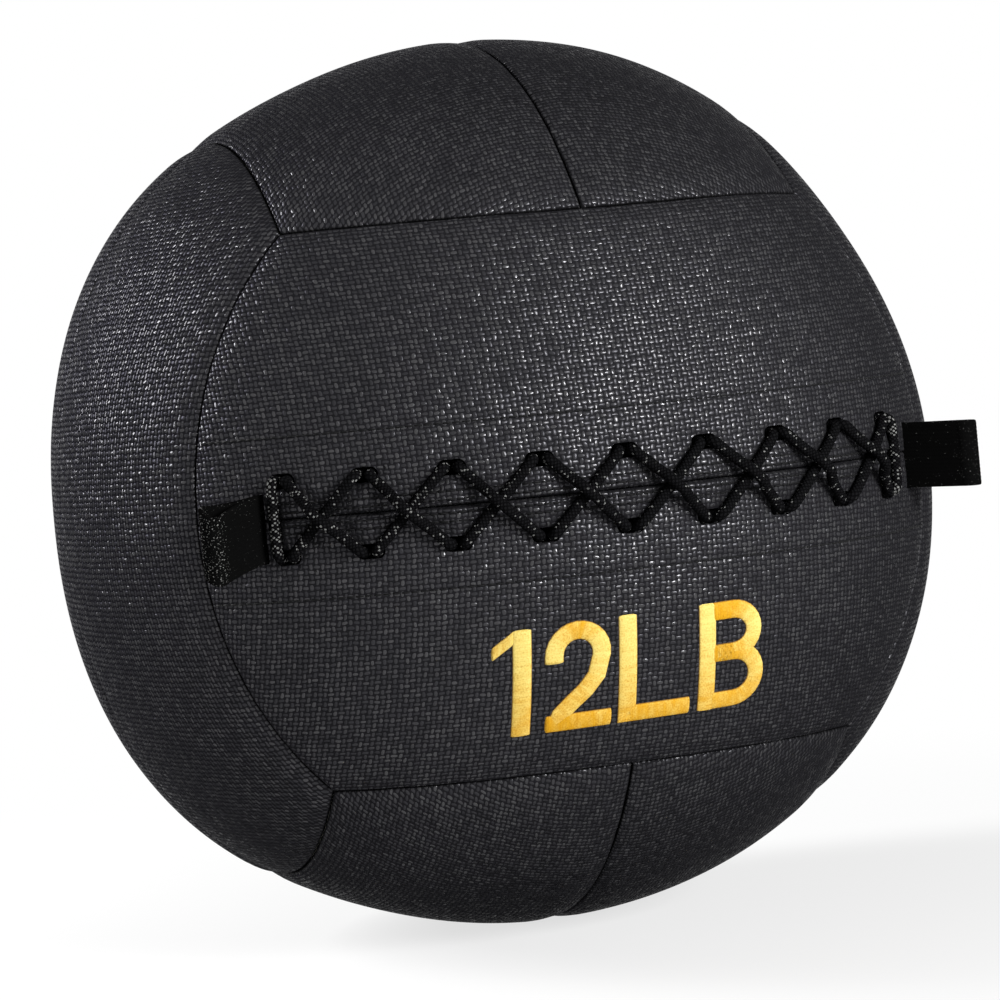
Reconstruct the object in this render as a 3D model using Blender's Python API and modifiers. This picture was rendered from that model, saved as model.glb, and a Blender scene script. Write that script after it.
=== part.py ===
"""A laced wall ball of twelve panels, 14 inches across, with its centre at the origin.

The laced front faces -Y and +Z is up. The cover is a skin of twelve sewn panels. Behind the laced slit
lie two facings, the lace's inner runs and a flap, and inside them a lining bag, the fibre padding and a
weighted core. Two webbing loops, one at each end of the lacing, swing about their sewn roots.
All lengths are in metres.
"""

import math

import bmesh
import bpy
import numpy as np
from mathutils import Matrix, Vector

MM = 0.001

# The ball
BALL_RADIUS = 177.8 * MM
FLAT_DEPTH = 1.0 * MM
SQUARENESS = 2.09  # 2 is a sphere, and more fills out the eight corners where three panels meet
SEAM_SHARE = 1 / math.sqrt(3)  # how far from the centre, in radii, each plane of seams lies

# Where the stuffing makes the ball stand out or fall in, as x, y, z of the direction and a height
LOBE_HEIGHT = 3.0 * MM
LOBE_REACH = math.radians(22)
LOBE_SHARES = (
    (0.83, -0.25, 0.49, -1.0),
    (0.81, -0.29, -0.51, 0.9),
    (-0.66, 0.25, 0.71, 0.7),
    (0.10, 0.01, 0.99, 0.5),
    (-0.93, 0.29, -0.20, -0.6),
    (-0.71, 0.20, -0.68, 0.8),
)

# The cover
SHELL = 2.0 * MM
SEAM_GAP = 0.3 * MM
SEAM_DIP = 1.4 * MM
SEAM_REACH = 9.0 * MM
SLIT_DIP = 0.5 * MM
SEAM_ROW = 6.0 * MM  # the row of facets along a seam
PANEL_STEP = 25.0 * MM

# Room between pieces of cloth, and what facets take from it
CLEAR = 0.3 * MM
FACET_ROOM = 0.8 * MM

# The lacing: holes above and below the slit, and the cord through them
LACE_RADIUS = 2.1 * MM
LACE_GAP = 0.8 * MM  # between one run of the lace and the next
HOLE_COLUMNS = 9
HOLE_PITCH = math.radians(10.27)
HOLE_SHIFT = math.radians(-1.0)
HOLE_HEIGHT = 13.75 * MM  # from the slit to the middle of a hole
HOLE_RADIUS = 2.85 * MM
RIM_REACH = 1.2 * MM  # where the lace turns over the rim of a hole
RIM_LEVEL = 2.0 * MM
LANDING = 3.8 * MM  # where it comes to lie on the cover, from the middle of the hole
INNER_RIM = 0.7 * MM
HOLE_TOP = 0.3 * MM
HOLE_CORNERS = 8
# Places along a run of the lace, and the share of its lift over the run beneath that it has there
CREST_SHARES = ((0.31, 0.45), (0.42, 0.97), (0.5, 1.0), (0.58, 0.97), (0.69, 0.45))
APART_SHARE = 6.0  # samples this many radii apart along the lace count as separate runs
KNOT_RADIUS = 4.6 * MM
KNOT_SHARES = (1.15, 1.0, 0.8)
KNOT_HEIGHT = 25.5 * MM  # from the slit to the middle of a knot
KNOT_SEGMENTS = 10
TAIL_SHARE = 0.55  # where the lace comes down to its knot's level, of the way there

# The facings, the flap and the trough in the padding
FACING = 1.0 * MM
FACING_WIDTH = 30.0 * MM
FACING_REACH = math.radians(51.0)
FLAP = 1.4 * MM
FLAP_WIDTH = 29.0 * MM
FLAP_REACH = math.radians(50.0)
TROUGH_WIDTH = 34.0 * MM
TROUGH_REACH = math.radians(52.5)
BAND_STEP = math.radians(8.5)
BAND_SHARES = (-1.0, -0.5, 0.0, 0.5, 1.0)  # rows of facets over a band's half width

# The webbing loops
WEB_WIDTH = 25.0 * MM
WEB = 1.4 * MM
TAB_LENGTH = 27.0 * MM
TAB_TIP_RADIUS = 4.6 * MM
TAB_FOOT = 13.0 * MM
TAB_STITCHED = 6.0 * MM  # the plies are sewn together up to here
TAB_ARC_POINTS = 9
LEFT_TAB = {
    "angle": math.radians(-45.2),
    "middle": -3.0 * MM,
    "lean": math.radians(-15.0),
    "droop": math.radians(8.0),
}
RIGHT_TAB = {
    "angle": math.radians(46.5),
    "middle": -1.5 * MM,
    "lean": 0.0,
    "droop": math.radians(2.0),
}

# The filling
LINING = 1.0 * MM
LINING_SEGMENTS = 20
LINING_RINGS = 12
CORE_RADIUS = 72.0 * MM
CORE_CLOTH = 1.2 * MM
NECK_RADIUS = 14.0 * MM
NECK_HEIGHT = 26.0 * MM  # from the shoulder of the core bag to its mouth
TIE_RADIUS = 2.0 * MM
TIE_SEGMENTS = 8
CORE_STEPS = 14
CORE_RINGS = 8

CUT_OVERRUN = 20.0 * MM
MERGE = 0.01 * MM  # points this near each other are one
SHARP = math.radians(40)

# Levels behind the cover's face, each from the one before it
FACING_TOP = -(SHELL + FACET_ROOM + CLEAR)
FACING_BOTTOM = FACING_TOP - FACING
OUTER_LAY = LACE_RADIUS + CLEAR
INNER_LAY = FACING_BOTTOM - SLIT_DIP - FACET_ROOM - CLEAR - LACE_RADIUS
LACE_STEP = 2 * LACE_RADIUS + LACE_GAP
INNER_DEEP = INNER_LAY - LACE_STEP
FLAP_TOP = INNER_DEEP - LACE_RADIUS - CLEAR
TROUGH_FLOOR = FLAP_TOP - FLAP - FACET_ROOM - CLEAR
KNOT_LEVEL = FACING_BOTTOM - FACET_ROOM - CLEAR - KNOT_RADIUS * KNOT_SHARES[2]
TAB_ROOT_RADIUS = WEB + CLEAR / 2  # half the two plies and the thread between them
LINING_TOP = -(SHELL + SEAM_DIP + FACET_ROOM + CLEAR)
PADDING_TOP = LINING_TOP - LINING - 2 * CLEAR
PASS_SHIFT = LACE_STEP / 2  # each hole carries two passes of the lace, side by side
FLOOR = -(BALL_RADIUS - FLAT_DEPTH)


# The form of the ball

def body_radius(direction):
    """The distance from the centre to the cover, before its seams draw it in."""
    x, y, z = direction
    fullness = (abs(x) ** SQUARENESS + abs(y) ** SQUARENESS + abs(z) ** SQUARENESS) ** (-1 / SQUARENESS)
    radius = BALL_RADIUS * fullness
    for lobe_x, lobe_y, lobe_z, height_share in LOBE_SHARES:
        near = Vector((lobe_x, lobe_y, lobe_z)).normalized().dot(direction)
        radius += LOBE_HEIGHT * height_share * math.exp(-(1 - near) / (1 - math.cos(LOBE_REACH)))
    return radius


def on_ball(direction, height=0.0):
    """The point this high above the cover, in the given direction from the centre."""
    unit = Vector(direction).normalized()
    return unit * (body_radius(unit) + height)


def at_front(angle, across, height=0.0):
    """A point of the laced front: angle along the slit, length across it, height above the cover."""
    lift = across / BALL_RADIUS
    direction = (math.sin(angle) * math.cos(lift), -math.cos(angle) * math.cos(lift), math.sin(lift))
    return on_ball(direction, height)


def draw_in(distance, depth, reach):
    """How far a seam draws the cover in at this distance from it."""
    return depth * max(0.0, 1 - distance / reach) ** 2


# Scene, materials and small helpers

def empty_scene():
    for item in list(bpy.data.objects):
        bpy.data.objects.remove(item, do_unlink=True)


def new_collection(name):
    collection = bpy.data.collections.new(name)
    bpy.context.scene.collection.children.link(collection)
    return collection


def new_material(name, colour, roughness, metallic=0.0):
    material = bpy.data.materials.new(name)
    material.use_nodes = True
    shader = material.node_tree.nodes["Principled BSDF"]
    shader.inputs["Base Color"].default_value = (*colour, 1.0)
    shader.inputs["Roughness"].default_value = roughness
    shader.inputs["Metallic"].default_value = metallic
    return material


def add_object(name, bm, material, collection=None):
    """A mesh object from a bmesh, with its normals turned outward."""
    bmesh.ops.recalc_face_normals(bm, faces=bm.faces)
    mesh = bpy.data.meshes.new(name)
    bm.to_mesh(mesh)
    bm.free()
    mesh.shade_smooth()
    mesh.set_sharp_from_angle(angle=SHARP)
    item = bpy.data.objects.new(name, mesh)
    (collection or parts).objects.link(item)
    if material:
        mesh.materials.append(material)
    return item


def add_cutter(name, bm):
    item = add_object(name, bm, None, cutters)
    item.hide_render = True
    item.display_type = "WIRE"
    return item


def thicken(item, thickness, offset=-1.0):
    modifier = item.modifiers.new("thickness", "SOLIDIFY")
    modifier.thickness = thickness
    modifier.offset = offset
    modifier.use_even_offset = True


def cut(item, cutter):
    modifier = item.modifiers.new("cut " + cutter.name, "BOOLEAN")
    modifier.operation = "DIFFERENCE"
    modifier.solver = "EXACT"
    modifier.object = cutter


def grid_sheet(rows):
    """An open sheet of quads through rows of points, each row as long as the next."""
    bm = bmesh.new()
    made = [[bm.verts.new(point) for point in row] for row in rows]
    for low, high in zip(made, made[1:]):
        for i in range(len(low) - 1):
            bm.faces.new((low[i], low[i + 1], high[i + 1], high[i]))
    return bm


def face_outward(bm):
    """Turns an open sheet's faces away from the ball's centre, so that Solidify grows inward."""
    bm.normal_update()
    inward = [f for f in bm.faces if f.normal.dot(f.calc_center_median()) < 0]
    bmesh.ops.reverse_faces(bm, faces=inward)


def add_sheet(name, rows, material, thickness, collection=None):
    bm = grid_sheet(rows)
    face_outward(bm)
    mesh = bpy.data.meshes.new(name)
    bm.to_mesh(mesh)
    bm.free()
    mesh.shade_smooth()
    item = bpy.data.objects.new(name, mesh)
    (collection or parts).objects.link(item)
    if material:
        mesh.materials.append(material)
    thicken(item, thickness)
    return item


# The cover

def stations(length, edge_row, count):
    """Places from 0 to length: a narrow row at each end and even steps between."""
    middle = length - 2 * edge_row
    return [0.0] + [edge_row + middle * i / count for i in range(count + 1)] + [length]


def panel_rows(normal, across, along, side, slit=False):
    """Rows of points over one half of a pair of panels.

    normal points out of the pair, across runs square to its middle seam and along runs with it.
    side is 1 or -1, for the half on which across is positive or negative.
    """
    normal, across, along = Vector(normal), Vector(across), Vector(along)
    half_gap = SEAM_GAP / 2 / BALL_RADIUS
    low, high = half_gap, math.asin(SEAM_SHARE) - half_gap
    row_count = round((high - low) * BALL_RADIUS / PANEL_STEP)
    column_count = 2 * round(math.acos(SEAM_SHARE) * BALL_RADIUS / PANEL_STEP)
    rows = []
    for row in stations((high - low) * BALL_RADIUS, SEAM_ROW, row_count):
        rise = low + row / BALL_RADIUS
        w, ring = math.sin(rise), math.cos(rise)
        limit = math.acos(SEAM_SHARE / ring) - half_gap / ring
        points = []
        for place in stations(2 * limit * BALL_RADIUS, SEAM_ROW, column_count):
            turn = place / BALL_RADIUS - limit
            u, n = ring * math.sin(turn), ring * math.cos(turn)
            direction = normal * n + across * (w * side) + along * u
            to_ends = (limit - abs(turn)) * BALL_RADIUS
            to_side = (high - rise) * BALL_RADIUS
            to_middle = (rise - low) * BALL_RADIUS
            drop = draw_in(min(to_ends, to_side), SEAM_DIP, SEAM_REACH)
            drop = max(drop, draw_in(to_middle, SLIT_DIP if slit else SEAM_DIP, SEAM_REACH))
            points.append(on_ball(direction, -drop))
        rows.append(points)
    return rows


PAIRS = (
    ("front_upper", "front_lower", (0, -1, 0), (0, 0, 1), (1, 0, 0)),
    ("back_upper", "back_lower", (0, 1, 0), (0, 0, 1), (-1, 0, 0)),
    ("top_right", "top_left", (0, 0, 1), (1, 0, 0), (0, 1, 0)),
    ("bottom_right", "bottom_left", (0, 0, -1), (1, 0, 0), (0, -1, 0)),
    ("left_back", "left_front", (-1, 0, 0), (0, 1, 0), (0, 0, -1)),
    ("right_back", "right_front", (1, 0, 0), (0, 1, 0), (0, 0, 1)),
)


def make_cover():
    panels = {}
    for first, second, normal, across, along in PAIRS:
        for name, side in ((first, 1), (second, -1)):
            material = new_material(name + "_vinyl", (0.035, 0.035, 0.038), 0.42)
            rows = panel_rows(normal, across, along, side, slit=name.startswith("front"))
            panels[name] = add_sheet(name, rows, material, SHELL)
    return panels


# The rest face: the two bottom panels are pressed flat where the ball stands

def make_floor_cutter():
    bm = bmesh.new()
    bmesh.ops.create_cube(bm, size=1.0)
    bmesh.ops.scale(bm, vec=(BALL_RADIUS, BALL_RADIUS, CUT_OVERRUN), verts=bm.verts)
    bmesh.ops.translate(bm, vec=(0, 0, FLOOR - CUT_OVERRUN / 2), verts=bm.verts)
    return add_cutter("floor_cutter", bm)


# The lacing

def column_angle(column):
    return HOLE_SHIFT + (column - (HOLE_COLUMNS - 1) / 2) * HOLE_PITCH


def hole_frame(angle, across):
    """A matrix whose +Z leaves the ball at this place of the front, with +X along the slit."""
    origin = at_front(angle, across)
    out = origin.normalized()
    along = Vector((math.cos(angle), math.sin(angle), 0))
    up = out.cross(along).normalized()
    along = up.cross(out)
    return Matrix.Translation(origin) @ Matrix((along, up, out)).transposed().to_4x4()


def make_hole_cutter(name, side):
    """Nine upright pegs with round ends, each as wide as the lace's two passes."""
    bm = bmesh.new()
    half = HOLE_CORNERS // 2
    for column in range(HOLE_COLUMNS):
        frame = hole_frame(column_angle(column), side * HOLE_HEIGHT)
        outline = []
        for end in (1, -1):
            for k in range(half + 1):
                turn = math.pi * (k / half - end / 2)
                x = end * PASS_SHIFT + HOLE_RADIUS * math.cos(turn)
                outline.append((x, HOLE_RADIUS * math.sin(turn)))
        low = [bm.verts.new(frame @ Vector((x, y, -CUT_OVERRUN / 2))) for x, y in outline]
        base = bm.faces.new(low)
        grown = bmesh.ops.extrude_face_region(bm, geom=[base])
        top = [v for v in grown["geom"] if isinstance(v, bmesh.types.BMVert)]
        out = frame.to_3x3() @ Vector((0, 0, CUT_OVERRUN))
        bmesh.ops.translate(bm, vec=out, verts=top)
    return add_cutter(name, bm)


def toward(start, end, length):
    """The place this far from one pass of the lace towards another.

    A place is an angle along the slit and a length across it.
    """
    angle = (end[0] - start[0]) * BALL_RADIUS
    across = end[1] - start[1]
    share = length / math.hypot(angle, across)
    return start[0] + (end[0] - start[0]) * share, start[1] + across * share


def between(start, end, share):
    return start[0] + (end[0] - start[0]) * share, start[1] + (end[1] - start[1]) * share


def upper(column, hand):
    """The pass through the upper hole of a column: hand is -1 for its left side and 1 for its right."""
    return column_angle(column) + hand * PASS_SHIFT / BALL_RADIUS, HOLE_HEIGHT


def lower(column, hand):
    return column_angle(column) + hand * PASS_SHIFT / BALL_RADIUS, -HOLE_HEIGHT


def over_rim(pass_place, next_place):
    """From the middle of a hole up over its rim and down onto the cover."""
    return [
        (pass_place, HOLE_TOP),
        (toward(pass_place, next_place, RIM_REACH), RIM_LEVEL),
        (toward(pass_place, next_place, LANDING), OUTER_LAY),
    ]


def under_rim(pass_place, next_place, level):
    """From the middle of a hole down behind the facing and round into the inner run at this level."""
    if level == INNER_LAY:
        bend = ((INNER_RIM, (FACING_BOTTOM + 2 * level) / 3), (LANDING, level))
    else:
        bend = (
            (INNER_RIM / 2, (FACING_BOTTOM + level) / 2),
            (RIM_REACH * 2, level + LACE_RADIUS / 2),
            (LANDING * 3 / 2, level),
        )
    turn = [(toward(pass_place, next_place, far), height) for far, height in bend]
    return [(pass_place, FACING_BOTTOM)] + turn


def outer_run(start, end, lifted=False):
    """The lace over the cover from one hole to another, lifted where it crosses the run under it."""
    crest_shares = CREST_SHARES if lifted else ((0.5, 0.0),)
    crest = [(between(start, end, share), OUTER_LAY + LACE_STEP * lift) for share, lift in crest_shares]
    return over_rim(start, end) + crest + over_rim(end, start)[::-1]


def inner_run(start, end, level):
    """The lace behind the facings, from an upper hole to a lower one or back."""
    middle = [(between(start, end, 0.5), level)]
    return under_rim(start, end, level) + middle + under_rim(end, start, level)[::-1]


def tail(pass_place):
    """A hidden end of the lace, from its last hole away from the slit to its stopper knot."""
    angle, across = pass_place
    hand = math.copysign(1.0, across)
    far = KNOT_HEIGHT - HOLE_HEIGHT - KNOT_RADIUS - CLEAR
    knot = (angle, across + hand * far)
    return [
        (pass_place, FACING_BOTTOM),
        (toward(pass_place, knot, INNER_RIM), (FACING_BOTTOM + 2 * KNOT_LEVEL) / 3),
        (toward(pass_place, knot, far * TAIL_SHARE), KNOT_LEVEL),
        (knot, KNOT_LEVEL),
    ]


def lace_route():
    """The whole lace: rightward under the crossings, up an end bar, leftward over them, up the other bar.

    Every column but the first holds two inner runs, which cross behind the slit at two levels.
    """
    last = HOLE_COLUMNS - 1
    route = tail(lower(0, 1))[::-1]
    for column in range(last):
        route += outer_run(lower(column, 1), upper(column + 1, -1))
        route += inner_run(upper(column + 1, -1), lower(column + 1, 1), INNER_LAY)
    route += outer_run(lower(last, 1), upper(last, 1))
    for column in range(last, 0, -1):
        route += inner_run(upper(column, 1), lower(column, -1), INNER_DEEP)
        route += outer_run(lower(column, -1), upper(column - 1, 1), lifted=True)
    route += inner_run(upper(0, 1), lower(0, -1), INNER_DEEP)
    route += outer_run(lower(0, -1), upper(0, -1))
    route += tail(upper(0, -1))
    return [at_front(angle, across, height) for (angle, across), height in route]


def least_gap(points, radius, step):
    """The least gap of a tube to itself, between samples that lie well apart along it, and its length."""
    samples, places, travelled = [], [], 0.0
    for first, second in zip(points, points[1:]):
        run = (second - first).length
        count = max(1, round(run / step))
        for k in range(count):
            samples.append(first.lerp(second, k / count))
            places.append(travelled + run * k / count)
        travelled += run
    samples, places = np.array(samples), np.array(places)
    least = math.inf
    for sample, place in zip(samples, places):
        apart = np.abs(places - place) > APART_SHARE * radius
        least = min(least, np.linalg.norm(samples[apart] - sample, axis=1).min())
    return least - 2 * radius, travelled


def make_lace():
    points = lace_route()
    gap, length = least_gap(points, LACE_RADIUS, LACE_RADIUS / 3)
    print(f"lace: {length:.3f} m long in {len(points)} points, least gap to itself {gap / MM:.2f} mm")
    curve = bpy.data.curves.new("lace", "CURVE")
    curve.dimensions = "3D"
    curve.bevel_depth = LACE_RADIUS
    curve.bevel_resolution = 1
    curve.use_fill_caps = True
    spline = curve.splines.new("POLY")
    spline.points.add(len(points) - 1)
    for place, point in zip(spline.points, points):
        place.co = (*point, 1.0)
    curve.materials.append(new_material("lace_cord", (0.012, 0.012, 0.012), 0.8))
    lace = bpy.data.objects.new("lace", curve)
    parts.objects.link(lace)
    return lace


def make_knot(name, pass_place):
    """A stopper knot: the end's lump of cord, a little wider than it is deep."""
    angle, across = pass_place
    frame = hole_frame(angle, math.copysign(KNOT_HEIGHT, across))
    bm = bmesh.new()
    rings = KNOT_SEGMENTS // 2 + 1
    bmesh.ops.create_uvsphere(bm, u_segments=KNOT_SEGMENTS, v_segments=rings, radius=KNOT_RADIUS)
    bmesh.ops.scale(bm, vec=KNOT_SHARES, verts=bm.verts)
    bmesh.ops.transform(bm, matrix=frame @ Matrix.Translation((0, 0, KNOT_LEVEL)), verts=bm.verts)
    return add_object(name, bm, new_material(name + "_cord", (0.012, 0.012, 0.012), 0.8))


# Behind the slit

def band_stations(reach, step):
    count = 2 * round(reach / step)
    return [reach * (2 * i / count - 1) for i in range(count + 1)]


def front_band(reach, widths, height, dip=0.0):
    """Rows of points along the laced front, one row for each place across the slit."""
    rows = []
    for across in widths:
        level = height - draw_in(abs(across), dip, SEAM_REACH)
        rows.append([at_front(angle, across, level) for angle in band_stations(reach, BAND_STEP)])
    return rows


def make_facing(name, side):
    """The strip that doubles one edge of the slit and holds the lace's holes."""
    middle = (SEAM_ROW + FACING_WIDTH) / 2
    widths = [side * across for across in (SEAM_GAP / 2, SEAM_ROW, middle, FACING_WIDTH)]
    rows = front_band(FACING_REACH, widths, FACING_TOP, SLIT_DIP)
    return add_sheet(name, rows, new_material(name + "_vinyl", (0.03, 0.03, 0.032), 0.5), FACING)


def make_flap():
    widths = [FLAP_WIDTH * share for share in BAND_SHARES]
    rows = front_band(FLAP_REACH, widths, FLAP_TOP)
    return add_sheet("slit_flap", rows, new_material("flap_vinyl", (0.03, 0.03, 0.032), 0.5), FLAP)


def make_trough_cutter():
    """A bent block that clears the padding and opens the lining behind the lacing."""
    widths = [TROUGH_WIDTH * share for share in BAND_SHARES]
    rows = front_band(TROUGH_REACH, widths, CUT_OVERRUN)
    block = add_sheet("trough_cutter", rows, None, CUT_OVERRUN - TROUGH_FLOOR, cutters)
    block.hide_render = True
    block.display_type = "WIRE"
    return block


# The webbing loops

def tab_prism(tab, outline, half_width):
    """An outline of lengths outboard from the tab and heights, carried along the tab's width."""
    hand = math.copysign(1.0, tab["angle"])
    bm = bmesh.new()
    rings = []
    for across in (tab["middle"] - half_width, tab["middle"], tab["middle"] + half_width):
        ring = []
        for run, height in outline:
            angle = tab["angle"] + hand * run / BALL_RADIUS
            ring.append(bm.verts.new(at_front(angle, across, height)))
        rings.append(ring)
    for low, high in zip(rings, rings[1:]):
        for i in range(len(outline)):
            j = (i + 1) % len(outline)
            bm.faces.new((low[i], low[j], high[j], high[i]))
    bm.faces.new(rings[0])
    bm.faces.new(rings[-1])
    return bm


def make_slot_cutter(name, tab):
    half = TAB_ROOT_RADIUS + CLEAR
    outline = ((-half, -CUT_OVERRUN), (half, -CUT_OVERRUN), (half, CUT_OVERRUN), (-half, CUT_OVERRUN))
    return add_cutter(name, tab_prism(tab, outline, WEB_WIDTH / 2 + CLEAR))


def make_anchor(name, tab):
    """The sewn-in ends of a loop: both plies pass down through the cover and turn outboard behind it."""
    top = FACING_BOTTOM - SLIT_DIP - FACET_ROOM - CLEAR
    bottom = top - 2 * TAB_ROOT_RADIUS
    half = TAB_ROOT_RADIUS
    outline = ((-half, bottom), (TAB_FOOT, bottom), (TAB_FOOT, top), (half, top), (half, 0.0), (-half, 0.0))
    material = new_material(name + "_webbing", (0.006, 0.006, 0.006), 0.9)
    return add_object(name, tab_prism(tab, outline, WEB_WIDTH / 2), material)


def arc(middle, radius, start, end, count):
    """Points round a middle on the X axis, from one angle to another."""
    turns = [start + (end - start) * k / count for k in range(count + 1)]
    return [(middle + radius * math.cos(turn), radius * math.sin(turn)) for turn in turns]


def loop_outlines():
    """The loop seen along its width: a round root, straight plies and a round tip, and the hollow inside."""
    tip = TAB_LENGTH - TAB_TIP_RADIUS
    slope = math.asin((TAB_TIP_RADIUS - TAB_ROOT_RADIUS) / tip)
    quarter = math.pi / 2 + slope
    outer = arc(tip, TAB_TIP_RADIUS, -quarter, quarter, TAB_ARC_POINTS)
    outer += arc(0.0, TAB_ROOT_RADIUS, quarter, 2 * math.pi - quarter, TAB_ARC_POINTS // 2)
    hollow = arc(tip, TAB_TIP_RADIUS - WEB, -quarter, quarter, TAB_ARC_POINTS)
    end = (TAB_TIP_RADIUS - WEB) / math.cos(slope) - (tip - TAB_STITCHED) * math.tan(slope)
    hollow += [(TAB_STITCHED, end), (TAB_STITCHED, -end)]
    return outer, hollow


def make_tab(name, tab):
    """A loop of webbing standing out of the cover, with its origin on the line about which it swings."""
    curve = bpy.data.curves.new(name, "CURVE")
    curve.dimensions = "2D"
    curve.fill_mode = "BOTH"
    curve.extrude = WEB_WIDTH / 2
    for outline in loop_outlines():
        spline = curve.splines.new("POLY")
        spline.points.add(len(outline) - 1)
        spline.use_cyclic_u = True
        for place, (x, y) in zip(spline.points, outline):
            place.co = (x, y, 0.0, 1.0)
    source = bpy.data.objects.new(name + "_outline", curve)
    parts.objects.link(source)
    graph = bpy.context.evaluated_depsgraph_get()
    mesh = bpy.data.meshes.new_from_object(source.evaluated_get(graph))
    bpy.data.objects.remove(source)
    bm = bmesh.new()
    bm.from_mesh(mesh)
    bpy.data.meshes.remove(mesh)
    bmesh.ops.remove_doubles(bm, verts=bm.verts, dist=MERGE)
    sag = Matrix.Identity(4)
    sag[2][0] = -math.tan(tab["droop"])
    bmesh.ops.transform(bm, matrix=sag, verts=bm.verts)
    item = add_object(name, bm, new_material(name + "_webbing", (0.006, 0.006, 0.006), 0.9))
    item.location = at_front(tab["angle"], tab["middle"], TAB_ROOT_RADIUS + CLEAR)
    item.rotation_euler = (0, 0, tab["angle"] + tab["lean"] - math.pi / 2)
    return item


# The filling

def ball_mesh(height):
    """A closed skin that follows the ball at this height below its cover."""
    bm = bmesh.new()
    bmesh.ops.create_uvsphere(bm, u_segments=LINING_SEGMENTS, v_segments=LINING_RINGS, radius=1.0)
    for vertex in bm.verts:
        vertex.co = on_ball(vertex.co, height)
    return bm


def make_lining(trough):
    canvas = new_material("lining_canvas", (0.5, 0.48, 0.43), 0.9)
    lining = add_object("lining_bag", ball_mesh(LINING_TOP), canvas)
    thicken(lining, LINING)
    cut(lining, trough)
    return lining


def make_half_cutter(name, side):
    """Everything on one side of the ball's middle plane, with half the gap between the two halves."""
    bm = bmesh.new()
    bmesh.ops.create_cube(bm, size=1.0)
    size = 2 * BALL_RADIUS + 2 * CUT_OVERRUN
    bmesh.ops.scale(bm, vec=(size, size, size), verts=bm.verts)
    bmesh.ops.translate(bm, vec=(0, side * (size - CLEAR) / 2, 0), verts=bm.verts)
    return add_cutter(name, bm)


def core_round(radius):
    """The round part of the core's outline at +X, from its neck down to its lowest point."""
    start = math.asin(NECK_RADIUS / CORE_RADIUS)
    turns = [start + (math.pi - start) * k / CORE_RINGS for k in range(CORE_RINGS + 1)]
    return [(radius * math.sin(turn), radius * math.cos(turn)) for turn in turns]


def turned(name, profile, material, collection=None):
    """A profile turned about the upright line through the ball's centre."""
    mesh = bpy.data.meshes.new(name)
    edges = [(i, i + 1) for i in range(len(profile) - 1)]
    mesh.from_pydata([(x, 0.0, z) for x, z in profile], edges, [])
    item = bpy.data.objects.new(name, mesh)
    (collection or parts).objects.link(item)
    if material:
        mesh.materials.append(material)
    screw = item.modifiers.new("turn", "SCREW")
    screw.steps = screw.render_steps = CORE_STEPS
    screw.use_merge_vertices = True
    screw.merge_threshold = MERGE
    screw.use_normal_calculate = True
    return item


def make_core():
    """The weighted bag in the middle: a round canvas bag tied at its neck, and the sand that fills it."""
    mouth = CORE_RADIUS + NECK_HEIGHT
    flare = [(NECK_RADIUS + TIE_RADIUS, mouth), (NECK_RADIUS, mouth - NECK_HEIGHT / 3)]
    canvas = new_material("core_canvas", (0.35, 0.33, 0.28), 0.9)
    bag = turned("core_bag", flare + core_round(CORE_RADIUS), canvas)
    thicken(bag, CORE_CLOTH)
    fill = core_round(CORE_RADIUS - CORE_CLOTH - CLEAR)
    sand = new_material("core_sand", (0.42, 0.34, 0.22), 0.95)
    turned("core_fill", [(0.0, fill[0][1])] + fill, sand)
    bpy.ops.mesh.primitive_torus_add(
        major_radius=NECK_RADIUS + TIE_RADIUS + CLEAR,
        minor_radius=TIE_RADIUS,
        major_segments=CORE_STEPS,
        minor_segments=TIE_SEGMENTS,
        location=(0, 0, CORE_RADIUS + NECK_HEIGHT / 3),
    )
    tie = bpy.context.object
    tie.name = "core_tie"
    tie.data.materials.append(new_material("tie_cord", (0.6, 0.58, 0.5), 0.8))
    tie.users_collection[0].objects.unlink(tie)
    parts.objects.link(tie)


def make_core_cutters():
    """The hollow that the core fills in the padding: its round body, and a pocket for its tied neck."""
    grown = core_round(CORE_RADIUS + CLEAR)
    body = turned("core_cutter", [(0.0, grown[0][1])] + grown, None, cutters)
    body.hide_render = True
    body.display_type = "WIRE"
    low, high = CORE_RADIUS - NECK_RADIUS / 2, CORE_RADIUS + NECK_HEIGHT + CLEAR
    bm = bmesh.new()
    radius = NECK_RADIUS + 2 * (TIE_RADIUS + CLEAR) + CLEAR
    bmesh.ops.create_cone(
        bm, cap_ends=True, segments=CORE_STEPS, radius1=radius, radius2=radius, depth=high - low
    )
    bmesh.ops.translate(bm, vec=(0, 0, (high + low) / 2), verts=bm.verts)
    return [body, add_cutter("neck_cutter", bm)]


def make_padding(name, *hollows):
    fibre = new_material(name + "_fibre", (0.75, 0.75, 0.73), 1.0)
    padding = add_object(name, ball_mesh(PADDING_TOP), fibre)
    for hollow in hollows:
        cut(padding, hollow)
    return padding


empty_scene()
parts = new_collection("wall_ball")
cutters = new_collection("wall_ball_cutters")

panels = make_cover()
floor_cutter = make_floor_cutter()
for panel_name in ("bottom_left", "bottom_right"):
    cut(panels[panel_name], floor_cutter)

upper_facing = make_facing("upper_facing", 1)
lower_facing = make_facing("lower_facing", -1)
upper_holes = make_hole_cutter("upper_hole_cutter", 1)
lower_holes = make_hole_cutter("lower_hole_cutter", -1)
slots = [make_slot_cutter("left_slot_cutter", LEFT_TAB), make_slot_cutter("right_slot_cutter", RIGHT_TAB)]
for sheet, holes in (
    (panels["front_upper"], upper_holes),
    (upper_facing, upper_holes),
    (panels["front_lower"], lower_holes),
    (lower_facing, lower_holes),
):
    for cutter in [holes] + slots:
        cut(sheet, cutter)

make_flap()
make_lace()
make_knot("lace_knot_upper", upper(0, -1))
make_knot("lace_knot_lower", lower(0, 1))

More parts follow.
